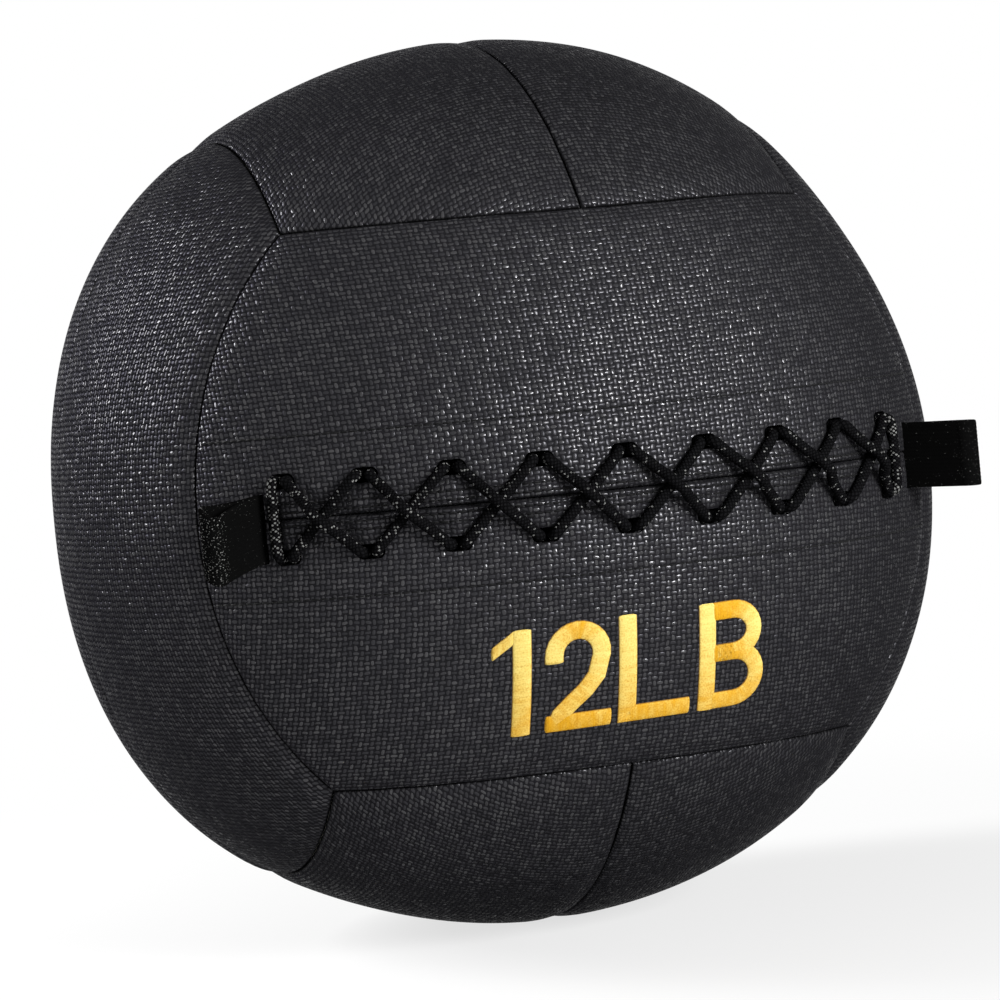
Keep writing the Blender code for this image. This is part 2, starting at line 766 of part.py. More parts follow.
make_anchor("left_tab_anchor", LEFT_TAB)
make_anchor("right_tab_anchor", RIGHT_TAB)
make_tab("left_tab", LEFT_TAB)
make_tab("right_tab", RIGHT_TAB)

trough_cutter = make_trough_cutter()
make_lining(trough_cutter)
make_core()
core_hollow = make_core_cutters()
make_padding("padding_front", make_half_cutter("back_half_cutter", 1), *core_hollow, trough_cutter)
make_padding("padding_back", make_half_cutter("front_half_cutter", -1), *core_hollow)
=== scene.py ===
# %% [markdown]
# # A laced wall ball
# A wall ball is a soft, heavy ball for throwing against a wall. Twelve panels of coated cloth are sewn
# together like those of a volleyball, and the ball is filled through a slit that a cord laces shut. Here
# its looks are built in Blender around a packed CAD model, which is loaded first and never changed.

# %% The frame
import math
import random

import bmesh
import bpy
import numpy as np
from mathutils import Matrix, Vector, noise


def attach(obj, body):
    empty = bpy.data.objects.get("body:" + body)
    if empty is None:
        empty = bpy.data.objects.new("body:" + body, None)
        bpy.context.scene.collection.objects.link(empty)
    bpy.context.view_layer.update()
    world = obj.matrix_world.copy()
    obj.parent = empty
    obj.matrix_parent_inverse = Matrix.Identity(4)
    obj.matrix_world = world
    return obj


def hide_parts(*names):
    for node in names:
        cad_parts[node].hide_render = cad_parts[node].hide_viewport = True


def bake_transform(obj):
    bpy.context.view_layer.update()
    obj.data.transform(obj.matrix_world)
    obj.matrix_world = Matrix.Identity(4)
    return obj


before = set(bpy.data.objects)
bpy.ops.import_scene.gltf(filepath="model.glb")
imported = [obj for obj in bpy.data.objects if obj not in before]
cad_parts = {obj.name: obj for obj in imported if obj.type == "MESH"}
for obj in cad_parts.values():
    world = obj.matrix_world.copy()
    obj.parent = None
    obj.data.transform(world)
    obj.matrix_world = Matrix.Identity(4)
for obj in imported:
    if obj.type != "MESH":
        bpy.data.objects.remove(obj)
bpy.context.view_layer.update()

MM = 0.001
WHITE = (1.0, 1.0, 1.0, 1.0)

# %% [markdown]
# The camera stands where the photographer's stood, a little to the left of the lacing and just above the
# middle of the ball. A long lens from some way off keeps the ball nearly round in the picture. Its place
# could be found by eye, but it was worked out from the corners where three seams meet, which are known,
# and is given here as numbers.

# %% Camera
BALL_RADIUS = 177.8 * MM
CAMERA_PLACE = Vector((-0.4596, -1.4407, 0.0589))
CAMERA_AXES = (  # the picture's right, its up, and the way back to the camera
    (0.9462, -0.3096, -0.0944),
    (0.1033, 0.0125, 0.9946),
    (-0.3067, -0.9508, 0.0438),
)
LENS, SENSOR = 133.93, 36.0  # millimetres, as Blender asks for them


def add_object(name, data):
    made = bpy.data.objects.new(name, data)
    bpy.context.scene.collection.objects.link(made)
    return made


camera_data = bpy.data.cameras.new("camera")
camera_data.lens, camera_data.sensor_width = LENS, SENSOR
camera = add_object("camera", camera_data)
camera.matrix_world = Matrix.Translation(CAMERA_PLACE) @ Matrix(CAMERA_AXES).transposed().to_4x4()
bpy.context.scene.camera = camera
print("camera", round(CAMERA_PLACE.length / BALL_RADIUS, 2), "ball radii away")

# %% [markdown]
# Shader maths reads best as ordinary Python. A small class wraps one output of a node and gives it the
# usual operators, and each operator adds a Math node. The reflected forms make 1 - mask work as well. Any
# other node comes from one method, which takes its kind, its settings and the values or links it is fed.


# %% Shader maths
class Value:
    """One output of a node, with operators that add Math nodes."""

    def __init__(self, nodes, socket):
        self.nodes, self.socket = nodes, socket

    def math(self, operation, *others):
        return self.nodes.node("Math", {"operation": operation}, dict(enumerate((self, *others))))

    def __add__(self, other):
        return self.math("ADD", other)

    def __mul__(self, other):
        return self.math("MULTIPLY", other)

    def __sub__(self, other):
        return self.math("SUBTRACT", other)

    def __rsub__(self, other):
        return self.nodes.node("Math", {"operation": "SUBTRACT"}, {0: other, 1: self})

    def __truediv__(self, other):
        return self.math("DIVIDE", other)

    __radd__ = __add__
    __rmul__ = __mul__

    def step(self, low, high):
        """0 below low, 1 above high, and a smooth rise between."""
        settings = {"interpolation_type": "SMOOTHSTEP"}
        return self.nodes.node("MapRange", settings, {0: self, 1: low, 2: high})


class Nodes:
    """A tree of nodes, with one method that adds any node to it."""

    def __init__(self, tree):
        self.tree = tree

    def node(self, kind, settings=None, places=None, output=0):
        made = self.tree.nodes.new("ShaderNode" + kind)
        for key, value in (settings or {}).items():
            setattr(made, key, value)
        for key, value in (places or {}).items():
            self.feed(made.inputs[key], value)
        return Value(self, made.outputs[output])

    def feed(self, socket, value):
        if isinstance(value, Value):
            self.tree.links.new(value.socket, socket)
        else:
            socket.default_value = value

    def parts_of(self, vector):
        outputs = self.node("SeparateXYZ", places={0: vector}).socket.node.outputs
        return [Value(self, output) for output in outputs]

    def attribute(self, name):
        return self.node("Attribute", {"attribute_name": name}, output="Vector")

    def own_place(self):
        return self.node("TexCoord", output="Object")

    def mix(self, share, first, second):
        return self.node("Mix", {"data_type": "RGBA"}, {0: share, 6: first, 7: second}, output=2)

    def scaled(self, vector, scale):
        return self.node("VectorMath", {"operation": "MULTIPLY"}, {0: vector, 1: scale})

    def noise(self, vector, scale, detail=2.0, roughness=0.5):
        places = {"Vector": vector, "Scale": scale, "Detail": detail, "Roughness": roughness}
        return self.node("TexNoise", places=places)

    def dice(self, column, row, output="Value"):
        """A random number, or with output Color a random vector, for each square of a grid."""
        cell = self.node("CombineXYZ", places={0: column, 1: row, 2: 0.0})
        return self.node("TexWhiteNoise", {"noise_dimensions": "2D"}, {"Vector": cell}, output)

    def bump(self, height, distance):
        return self.node("Bump", places={"Height": height, "Distance": distance, "Strength": 1.0})


class Finish(Nodes):
    """The nodes of a material, which end in its Principled shader."""

    def __init__(self, name):
        self.material = bpy.data.materials.new(name)
        self.material.use_nodes = True
        super().__init__(self.material.node_tree)
        self.shader = self.tree.nodes["Principled BSDF"]

    def set(self, **values):
        """Feeds sockets of the shader, written as base_color=..., roughness=..., and gives the material."""
        for key, value in values.items():
            socket = key.replace("_", " ").title().replace("Ior", "IOR")
            self.feed(self.shader.inputs[socket], value)
        return self.material


print("helpers for nodes:", ", ".join(name for name in vars(Nodes) if not name.startswith("_")))

# %% [markdown]
# The cover is a plain weave: each thread goes over one crossing and under the next, so the threads on
# top make a checkerboard of short dashes, lying along the cloth on one square and across it on the next.
# A picture of cloth would do, but it would blur close up. Here each dash is worked out from the place on
# the cloth, and it has a shine and a lean of its own. The gaps between dashes are painted darker, for the
# shade that falls between threads. The coating is dull black at every angle, so the shader is mostly
# metallic: its near-black colour then dims what it reflects as well, and so the painted shade of the gaps
# dims their reflections too.

# %% Cover cloth
THREAD_ACROSS, THREAD_DOWN, THREAD_HEIGHT = 2.12 * MM, 1.92 * MM, 0.42 * MM
STRAY, STRAY_SCALE = 0.7, 170.0  # how far threads stray, in threads, and how finely
DASH_LONG, DASH_SHORT = 0.6, 0.34  # half a dash's length and width, in threads
DASH_RIM = 0.45  # the height at which a dash is fully clear of its gap
ARCH, TILT = 0.4, 1.9  # how far a dash arches and may lean, as shares of the threads' height
GAP_ROUGHNESS, SHINIER = 0.85, 0.17  # and how much smoother the palest threads are
METAL_SHARE = 0.6  # of the threads; the gaps are all metallic
# painted shade: the colour of the gaps between threads, darker than the threads for the shade there
CLOTH_GAP_SHADE = (0.017, 0.0167, 0.019, 1.0)
CLOTH_DIM = (0.0285, 0.0282, 0.0312, 1.0)
CLOTH_PALE = (0.058, 0.0575, 0.06, 1.0)
# painted shade: the near-black colour laid along each seam, where shade falls in the crease
SEAM_PAINTED_SHADE = (0.003, 0.003, 0.003, 1.0)
EDGE_TINT = (0.25, 0.25, 0.25, 1.0)


def weave(finish, place):
    """The weave at a place on the cloth: each dash from 0 to 1, its own chance, and the relief."""
    stray_u = finish.noise(place, STRAY_SCALE, 1.0)
    stray_v = finish.noise(finish.scaled(place, (-1.0, 1.0, 1.0)), STRAY_SCALE, 1.0)
    u, v, _ = finish.parts_of(place)
    u = u * (1 / THREAD_ACROSS) + stray_u * STRAY
    v = v * (1 / THREAD_DOWN) + stray_v * STRAY
    column, row = u.math("ROUND"), v.math("ROUND")
    beside, above = u - column, v - row
    turned = ((column + row) * 0.5).math("FRACT") * 2.0
    lying = beside * (1 / DASH_LONG), above * (1 / DASH_SHORT)
    standing = beside * (1 / DASH_SHORT), above * (1 / DASH_LONG)
    lying, standing = (1.0 - x * x - y * y for x, y in (lying, standing))
    dash = (lying * (1.0 - turned) + standing * turned).math("MAXIMUM", 0.0)
    chance, lean, nod = finish.parts_of(finish.dice(column, row, "Color"))
    tilt = beside * (lean - 0.5) + above * (nod - 0.5)
    return dash, chance, dash * ARCH + tilt * TILT


def cloth_finish(name, roughness):
    """Coated cloth: gaps painted dark for the shade between threads, and threads of which a few are paler and
    shinier.
    """
    finish = Finish(name)
    dash, chance, relief = weave(finish, finish.attribute("weave"))
    top, bright = dash.step(0.0, DASH_RIM), chance * chance
    # painted shade in the gaps: the cloth is darkest where no dash lies on top
    cloth = finish.mix(top, CLOTH_GAP_SHADE, finish.mix(bright, CLOTH_DIM, CLOTH_PALE))
    return finish.set(
        # painted shade: the cloth turns near-black along each seam
        base_color=finish.mix(finish.attribute("sewn"), cloth, SEAM_PAINTED_SHADE),
        metallic=1.0 - top * (1 - METAL_SHARE),
        roughness=GAP_ROUGHNESS - top * (GAP_ROUGHNESS - roughness + bright * SHINIER),
        specular_ior_level=0.0,
        specular_tint=EDGE_TINT,
        normal=finish.bump(relief, THREAD_HEIGHT),
    )


cover_cloth, facing_cloth = cloth_finish("cover_cloth", 0.34), cloth_finish("facing_cloth", 0.6)
print("cover threads", THREAD_ACROSS / MM, "by", THREAD_DOWN / MM, "mm apart")

# %% [markdown]
# The ball isn't quite a sphere. It is a little fuller towards the corners where three panels meet, and
# the stuffing makes it stand out or fall in at a few places. The CAD part gives this form as a formula.
# Restating the formula lets every piece here lie exactly on the same skin.

# %% The ball's form
SQUARENESS = 2.09
LOBE_HEIGHT, LOBE_REACH = 3.0 * MM, math.radians(22)
LOBE_SHARES = np.array((  # a direction, and the share of LOBE_HEIGHT there
    (0.83, -0.25, 0.49, -1.0),
    (0.81, -0.29, -0.51, 0.9),
    (-0.66, 0.25, 0.71, 0.7),
    (0.10, 0.01, 0.99, 0.5),
    (-0.93, 0.29, -0.20, -0.6),
    (-0.71, 0.20, -0.68, 0.8),
))
FLOOR = -176.8 * MM
SEAM_SHARE = 1 / math.sqrt(3)
SEAM_ANGLE = math.asin(SEAM_SHARE)  # from a pair's own middle to the seam at its side


def unit(directions):
    return directions / np.linalg.norm(directions, axis=-1, keepdims=True)


def humps(directions, places, reach):
    """The sum of smooth round humps, each at a direction and with the height given after it."""
    near = (directions @ unit(place[:3]) for place in places)
    return sum(place[3] * np.exp((n - 1) / (1 - math.cos(reach))) for place, n in zip(places, near))


def on_ball(directions, height=0.0):
    """Points at these directions from the centre, this far over the ball's form."""
    directions = unit(np.asarray(directions, float))
    fullness = (np.abs(directions) ** SQUARENESS).sum(-1) ** (-1 / SQUARENESS)
    form = BALL_RADIUS * fullness + LOBE_HEIGHT * humps(directions, LOBE_SHARES, LOBE_REACH)
    return directions * (form + height)[..., None]


def front_direction(angle, across):
    """A direction of the laced front: angle along the slit, length across it."""
    angle, lift = np.asarray(angle, float), np.asarray(across, float) / BALL_RADIUS
    along, out = np.sin(angle) * np.cos(lift), -np.cos(angle) * np.cos(lift)
    return np.stack(np.broadcast_arrays(along, out, np.sin(lift)), -1)


def at_front(angle, across, height=0.0):
    return on_ball(front_direction(angle, across), height)


print("radius at the front", round(float(-at_front(0.0, 0.0)[1]) / MM, 1), "mm")

# %% [markdown]
# Real cloth is never as even as a formula. Smooth noise, sampled at each point, gives the slow swells of
# the stuffing and the fine gathers that thread pulls into a seam. The same noise function with another
# scale and another corner of space serves for both. At a few places the cover has sunk, too, where the
# stuffing is slack.

# %% Unevenness
NOISE_CORNER = (17.3, 5.1, 11.7)  # how far apart in space the noise of one seed and the next is read
SETTLE, SETTLE_REACH = 2.6 * MM, math.radians(19)
SETTLED_SHARES = np.array((  # a direction, and the share of SETTLE there
    (-0.97, 0.21, 0.15, 0.8),
    (0.80, -0.34, 0.51, 1.0),
    (-0.46, 0.08, 0.91, 1.0),
    (-0.45, 0.0, -0.93, 0.8),
))


def ripple(points, size, seed):
    """Smooth noise from about -1 to 1 at each point, in swells of about this size."""
    shift = Vector([seed * step for step in NOISE_CORNER])
    values = [noise.noise(Vector(p) / size + shift) for p in points.reshape(-1, 3)]
    return np.array(values).reshape(points.shape[:-1])


def fall(distance, reach):
    """1 at no distance, easing to 0 at this reach."""
    return np.clip(1 - distance / reach, 0, 1) ** 2


def settled(direction):
    """How far the cover has sunk where the stuffing is slack."""
    return SETTLE * humps(direction, SETTLED_SHARES, SETTLE_REACH)


print("slack places", len(SETTLED_SHARES), "up to", round(SETTLE / MM, 1), "mm deep")

# %% [markdown]
# The lacing starts from its holes: nine above the slit and nine below, each wide enough for two passes
# of the cord. Their places are needed by the cloth, which dips round them, and by the cord itself.

# %% Places of the lacing
HOLE_COLUMNS, HOLE_PITCH, HOLE_SHIFT = 9, math.radians(10.27), math.radians(-1.0)
HOLE_HEIGHT, HOLE_RADIUS = 13.75 * MM, 2.85 * MM
PASS_SHIFT = 2.5 * MM  # from the middle of a hole to each pass of the cord
LACED_REACH = HOLE_PITCH * (HOLE_COLUMNS - 1) / 2
COLUMNS = [HOLE_SHIFT + (c - (HOLE_COLUMNS - 1) / 2) * HOLE_PITCH for c in range(HOLE_COLUMNS)]
STITCH_LINE = 29.6 * MM  # from the slit to the line of stitching that holds a facing
SLIT_LINES = (2.4 * MM, 5.4 * MM)  # and to the two that hold the slit's own edge


def hole_distance(angle, across):
    """How far a place of the front lies from the rim of the nearest hole, less than 0 inside it."""
    far = np.full(np.broadcast(angle, across).shape, 1.0)
    for column in COLUMNS:
        beside = np.maximum(np.abs((angle - column) * BALL_RADIUS) - PASS_SHIFT, 0)
        far = np.minimum(far, np.hypot(beside, np.abs(across) - HOLE_HEIGHT) - HOLE_RADIUS)
    return far


def between_cords(angle, across):
    """0 in the middle of a diamond of the lacing, 1 under the cords at its sides."""
    cell = (angle - HOLE_SHIFT) / HOLE_PITCH
    beside = np.abs(cell - np.round(cell)) * 2
    return beside + np.abs(across) / HOLE_HEIGHT


print("holes", 2 * HOLE_COLUMNS, "at", round(HOLE_PITCH * BALL_RADIUS / MM, 1), "mm from one to the next")

# %% [markdown]
# The laced front has a relief of its own. The stuffing pushes the cloth out inside each diamond of the
# lacing, and the cloth dips round the holes and along every line of stitching.

# %% Relief of the laced front
PUFF, PUFF_CURVE = 1.9 * MM, 1.2
HOLE_DIP, HOLE_DIP_REACH = 0.55 * MM, 5 * MM
STITCH_DIP, STITCH_DIP_REACH = 0.4 * MM, 2.6 * MM
SLIT_LINE_DIP, SLIT_LINE_REACH = 0.28 * MM, 1.1 * MM


def front_relief(directions):
    """How far the laced front stands proud of the ball."""
    angle = np.arctan2(directions[..., 0], -directions[..., 1])
    across = BALL_RADIUS * np.arcsin(np.clip(directions[..., 2], -1, 1))
    inside = np.clip(between_cords(angle, across), 0, 1)
    laced = np.abs(angle - HOLE_SHIFT) < LACED_REACH
    relief = laced * PUFF * np.cos(inside * math.pi / 2) ** PUFF_CURVE
    relief -= HOLE_DIP * fall(np.maximum(hole_distance(angle, across), 0), HOLE_DIP_REACH)
    relief -= STITCH_DIP * fall(np.abs(np.abs(across) - STITCH_LINE), STITCH_DIP_REACH)
    for line in SLIT_LINES:
        relief -= SLIT_LINE_DIP * fall(np.abs(np.abs(across) - line), SLIT_LINE_REACH)
    return relief


relief = front_relief(front_direction(np.array(COLUMNS[:-1]) + HOLE_PITCH / 2, 0.0))
print("cloth stands out by", round(float(relief.max()) / MM, 2), "mm at most between the cords")

# %% [markdown]
# Each panel is a grid of points on the ball, closer together near its edges. At a seam the cloth sinks
# into a shallow valley and then rolls over into the ball, where its edge is sewn to the next panel's.
# Building the roll as real geometry gives the dark line of a seam its true shape under any light.

# %% Form of a panel
SEAM_GAP = 0.3 * MM
ROLL, SLIT_ROLL, CLOTH = 1.0 * MM, 0.85 * MM, 0.75 * MM  # a roll must be rounder than the cloth is thick
HEM = 0.9 * MM  # how far each edge is turned down
VALLEY, VALLEY_REACH, SLIT_VALLEY = 1.5 * MM, 11.0 * MM, 0.4 * MM
SHALLOW_SHARE = 0.25  # how much of its valley the left pair's middle seam keeps
GATHER, GATHER_SIZE, GATHER_REACH = 0.28 * MM, 8.0 * MM, 14.0 * MM
SWELL, SWELL_SIZE = 0.5 * MM, 55.0 * MM
EDGE_STEPS = np.array((0, 0, 0.1, 0.35, 0.75, 1.25, 1.9, 2.8, 4.0, 5.5, 7.5, 10.0)) * MM
COARSE_STEP, FINE_STEP = 2.6 * MM, 1.45 * MM
MIDDLE_TURN = 0.85  # about how far the even middle of a panel reaches each way, in radians


def grid_stations(length, step):
    """Places from 0 to length, close together near both ends."""
    reach = EDGE_STEPS[-1]
    count = max(1, round((length - 2 * reach) / step))
    middle = np.linspace(reach, length - reach, count + 1)[1:-1]
    return np.concatenate((EDGE_STEPS, middle, (length - EDGE_STEPS)[::-1]))


def panel_grid(normal, across, along, side, front):
    """Directions of a panel's points in rows, and their distances to its end, side and middle seams."""
    normal, across, along = (np.array(v, float) for v in (normal, across, along))
    step = FINE_STEP if front else COARSE_STEP
    gap = SEAM_GAP / 2 / BALL_RADIUS
    low, high = gap, SEAM_ANGLE - gap
    rise = low + grid_stations((high - low) * BALL_RADIUS, step) / BALL_RADIUS
    ring = np.cos(rise)
    near = gap + EDGE_STEPS / BALL_RADIUS
    end_turns = np.arccos(np.sin(SEAM_ANGLE + near)[None, :] / ring[:, None])
    shares = np.linspace(1, -1, round(2 * MIDDLE_TURN * BALL_RADIUS / step) + 1)[1:-1]
    turns = np.concatenate((end_turns, end_turns[:, -1:] * shares, -end_turns[:, ::-1]), axis=1)
    direction = (
        normal * (ring[:, None] * np.cos(turns))[..., None]
        + across * side * np.sin(rise)[:, None, None]
        + along * (ring[:, None] * np.sin(turns))[..., None]
    )
    to_end = (np.arcsin(direction @ normal) - SEAM_ANGLE) * BALL_RADIUS - SEAM_GAP / 2
    to_side = np.broadcast_to(((high - rise) * BALL_RADIUS)[:, None], to_end.shape)
    to_middle = np.broadcast_to(((rise - low) * BALL_RADIUS)[:, None], to_end.shape)
    return direction, np.clip(np.stack((to_end, to_side, to_middle)), 0, None)


def rolled(past, radius):
    """How far a quarter-round edge has dropped at this distance past its start."""
    return radius - np.sqrt(np.clip(radius**2 - past**2, 0, None))


def swells(direction, seed):
    """The slow swells of the stuffing under one panel."""
    return SWELL * ripple(direction * BALL_RADIUS, SWELL_SIZE, seed + 1)


def panel_heights(direction, distances, front, shallow_middle, seed):
    """The height of each point of a panel over the ball's form."""
    valleys = VALLEY * fall(distances, VALLEY_REACH)
    if front:
        valleys[2] *= SLIT_VALLEY / VALLEY
    if shallow_middle:
        valleys[2] *= SHALLOW_SHARE
    seams = distances[:2] if front else distances
    roll = rolled(np.linalg.norm(np.clip(ROLL - seams, 0, None), axis=0), ROLL)
    if front:
        roll = np.maximum(roll, rolled(np.clip(SLIT_ROLL - distances[2], 0, None), SLIT_ROLL))
    gathers = GATHER * ripple(direction * BALL_RADIUS, GATHER_SIZE, seed)
    height = -valleys.max(0) - roll - settled(direction) + gathers * fall(seams.min(0), GATHER_REACH)
    height += swells(direction, seed)
    height[[0, -1], :] -= HEM
    height[1:-1, [0, -1]] -= HEM
    if front:
        height += front_relief(direction) * np.clip(distances.min(0) / ROLL, 0, 1)
    return height


print("valleys", VALLEY / MM, "mm deep, rolled edges", ROLL / MM, "mm round")

# %% [markdown]
# A few helpers turn arrays of points into meshes, and meshes into pieces. Each piece rides on a body of
# the CAD model and stands in for its nodes. Holes and thickness come from Blender's own modifiers, which
# are applied at once, because later steps read the finished mesh.

# %% Meshes and pieces
SHARP_CLOTH, SHARP_LOOP, SHARP_EDGE = 55, 60, 50  # degrees from which an edge stays sharp


def quads_over(index, closed=False):
    """Quads between the rows of a grid of point numbers; closed joins the last column to the first."""
    beside = np.roll(index, -1, axis=1)
    quads = np.stack((index[:-1], beside[:-1], beside[1:], index[1:]), -1)
    return (quads if closed else quads[:, :-1]).reshape(-1, 4)


def tube_faces(index):
    """Faces of a closed tube whose rings are the rows of this grid of point numbers."""
    return quads_over(index, closed=True).tolist() + [index[0][::-1].tolist(), index[-1].tolist()]


def numbered(rows, columns, first=0):
    return first + np.arange(rows * columns).reshape(rows, columns)


def new_mesh(name, points, faces):
    mesh = bpy.data.meshes.new(name)
    mesh.from_pydata(np.reshape(points, (-1, 3)).tolist(), [], faces)
    return mesh


def mesh_from(bm, name):
    mesh = bpy.data.meshes.new(name)
    bm.to_mesh(mesh)
    bm.free()
    return mesh


def outward(mesh):
    """Turns the faces of a closed mesh to face out."""
    bm = bmesh.new()
    bm.from_mesh(mesh)
    bmesh.ops.recalc_face_normals(bm, faces=bm.faces)
    bm.to_mesh(mesh)
    bm.free()
    return mesh


def sheet_mesh(name, points):
    """A mesh of quads through a grid of points, facing away from the ball's centre."""
    quads = quads_over(numbered(*points.shape[:2]))
    a, b, c = (points.reshape(-1, 3)[quads[:, k]] for k in range(3))
    if (np.cross(b - a, c - a) * a).sum() < 0:
        quads = quads[:, ::-1]
    return new_mesh(name, points, quads.tolist())


def put(mesh, name, values):
    """Gives each point of a mesh a number or a vector, under a name that a finish reads."""
    values = np.asarray(values, np.float32).ravel()
    kind, key = ("FLOAT", "value") if len(values) == len(mesh.vertices) else ("FLOAT_VECTOR", "vector")
    mesh.attributes.new(name, kind, "POINT").data.foreach_set(key, values)


def keep_sharp(mesh, degrees):
    mesh.set_sharp_from_angle(angle=math.radians(degrees))


def add_piece(name, mesh, material, body="ball", nodes=()):
    """A piece of the object: it shows this mesh, rides on a body and stands for these CAD nodes."""
    piece = add_object(name, mesh)
    mesh.materials.append(material)
    mesh.shade_smooth()
    if body:
        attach(piece, body)
    if nodes:
        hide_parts(*nodes)
    return piece


def thicken(piece, thickness):
    solid = piece.modifiers.new("thickness", "SOLIDIFY")
    solid.thickness, solid.offset = thickness, -1.0


def cut(piece, *cutters):
    for cutter in cutters:
        modifier = piece.modifiers.new("cut", "BOOLEAN")
        modifier.operation, modifier.solver, modifier.object = "DIFFERENCE", "EXACT", cutter


def apply_modifiers(piece):
    graph = bpy.context.evaluated_depsgraph_get()
    mesh = bpy.data.meshes.new_from_object(piece.evaluated_get(graph))
    piece.modifiers.clear()
    old, piece.data = piece.data, mesh
    bpy.data.meshes.remove(old)
    mesh.shade_smooth()
    keep_sharp(mesh, SHARP_CLOTH)


print("a grid of 3 by 4 points has", len(quads_over(numbered(3, 4))), "quads")

# %% [markdown]
# A panel's mesh tells its material two things at each point. One is how near a seam lies, for the shade
# that is painted there. The other is the point's place on the flat cloth, so that the weave runs straight
# over the panel. Both are stored as attributes, which a shader can read by name.

# %% What the cloth is told
# how far from a seam the painted shade stays full, and over how much more it fades
SHADE_FULL, SHADE_FADE = 0.1 * MM, 0.6 * MM
MOST_SLANT, MOST_SHIFT = 1.5, 0.5  # how askew, in degrees, and how far along, in metres, a cloth may lie


def directions_of(mesh):
    points = np.empty(len(mesh.vertices) * 3, np.float32)
    mesh.vertices.foreach_get("co", points)
    return unit(points.reshape(-1, 3).astype(float))


def angles_toward(direction, *axes):
    """The angle of each direction over the plane square to each axis."""
    return [np.arcsin(np.clip(direction @ np.array(axis, float), -1, 1)) for axis in axes]


def mark_seam_shade(mesh, normal, across, side, plain_middle):
    """Gives each point its share of painted seam shade: 1 in a seam and 0 from a little way off."""
    out, rise = angles_toward(directions_of(mesh), normal, side * np.array(across))
    near = np.minimum(out - SEAM_ANGLE, SEAM_ANGLE - rise)
    if not plain_middle:
        near = np.minimum(near, rise)
    put(mesh, "sewn", np.clip(1 - (near * BALL_RADIUS - SHADE_FULL) / SHADE_FADE, 0, 1))


def lay_weave(mesh, along, across, seed):
    """Gives each point its place on the flat cloth."""
    dice = random.Random(seed)
    slant, shift = math.radians(dice.uniform(-MOST_SLANT, MOST_SLANT)), dice.uniform(0, MOST_SHIFT)
    u, v = (BALL_RADIUS * angle for angle in angles_toward(directions_of(mesh), along, across))
    cosine, sine = math.cos(slant), math.sin(slant)
    place = u * cosine - v * sine + shift, u * sine + v * cosine + shift / 3, 0 * u
    put(mesh, "weave", np.stack(place, -1))


print("the shade of a seam fades out", round((SHADE_FULL + SHADE_FADE) / MM, 1), "mm from it")

# %% [markdown]
# The holes for the cord and the slots for the two webbing loops are cut with Blender's Boolean modifier.
# The cutters are pegs that stand square to the ball, and they are deleted once the cut is applied.

# %% Cutters for holes and slots
CUT_DEPTH = 20 * MM
HOLE_CORNERS = 14  # steps round each end of a hole
WEB_WIDTH, WEB, CLEAR = 25.0 * MM, 1.4 * MM, 0.3 * MM
TAB_ROOT_RADIUS = WEB + CLEAR / 2
# each loop's fleck share sets how thick the painted glints lie on its fold and edges
LEFT_TAB = {
    "angle": math.radians(-45.2), "middle": -3.0 * MM,  # its place on the front
    "lean": math.radians(-15.0), "droop": math.radians(8.0), "skew": 1.0, "worn": 0.85,
}
RIGHT_TAB = {
    "angle": math.radians(46.5), "middle": -1.5 * MM,
    "lean": 0.0, "droop": math.radians(2.0), "skew": 0.0, "worn": 0.3,
}


def front_frame(angle, across):
    """A matrix whose Z leaves the ball at this place of the front, with X along the slit."""
    origin = Vector(at_front(angle, across))
    out = origin.normalized()
    along = Vector((math.cos(angle), math.sin(angle), 0))
    up = out.cross(along).normalized()
    return Matrix.Translation(origin) @ Matrix((up.cross(out), up, out)).transposed().to_4x4()


def hidden(name, mesh):
    cutter = add_object(name, mesh)
    cutter.hide_render = True
    return cutter


def add_cutter(name, bm):
    return hidden(name, outward(mesh_from(bm, name)))


def skin_between(bm, low, high):
    """Adds a band of quads between two rings of points."""
    for i in range(len(low)):
        j = (i + 1) % len(low)
        bm.faces.new((low[i], low[j], high[j], high[i]))


def peg(bm, place, outline):
    """Adds a closed prism through the cover, with this outline."""
    low, high = (
        [bm.verts.new(place @ Vector((x, y, z))) for x, y in outline] for z in (-CUT_DEPTH / 2, CUT_DEPTH / 2)
    )
    skin_between(bm, low, high)
    bm.faces.new(low[::-1])
    bm.faces.new(high)


def hole_cutter(side):
    outline = []
    for end in (1, -1):
        for k in range(HOLE_CORNERS + 1):
            turn = math.pi * (k / HOLE_CORNERS - 0.5) + (0 if end > 0 else math.pi)
            outline.append((end * PASS_SHIFT + HOLE_RADIUS * math.cos(turn), HOLE_RADIUS * math.sin(turn)))
    bm = bmesh.new()
    for column in COLUMNS:
        peg(bm, front_frame(column, side * HOLE_HEIGHT), outline)
    return add_cutter("holes", bm)


def slot_cutter(tab):
    bm = bmesh.new()
    x, y = TAB_ROOT_RADIUS + CLEAR, WEB_WIDTH / 2 + CLEAR
    peg(bm, front_frame(tab["angle"], tab["middle"]), ((-x, -y), (x, -y), (x, y), (-x, y)))
    return add_cutter("slot", bm)


slots = [slot_cutter(LEFT_TAB), slot_cutter(RIGHT_TAB)]
print("slots", round(2 * (WEB_WIDTH / 2 + CLEAR) / MM, 1), "mm wide for webbing of", WEB_WIDTH / MM, "mm")

# %% [markdown]
# The panels come in six pairs, one pair for each face of a cube. A pair is named with three directions:
# out of the ball, across its own middle seam, and along that seam. Each panel is laid out on the ball,
# flattened where the ball rests on the floor, thickened, cut if it is laced, and then told of its cloth.

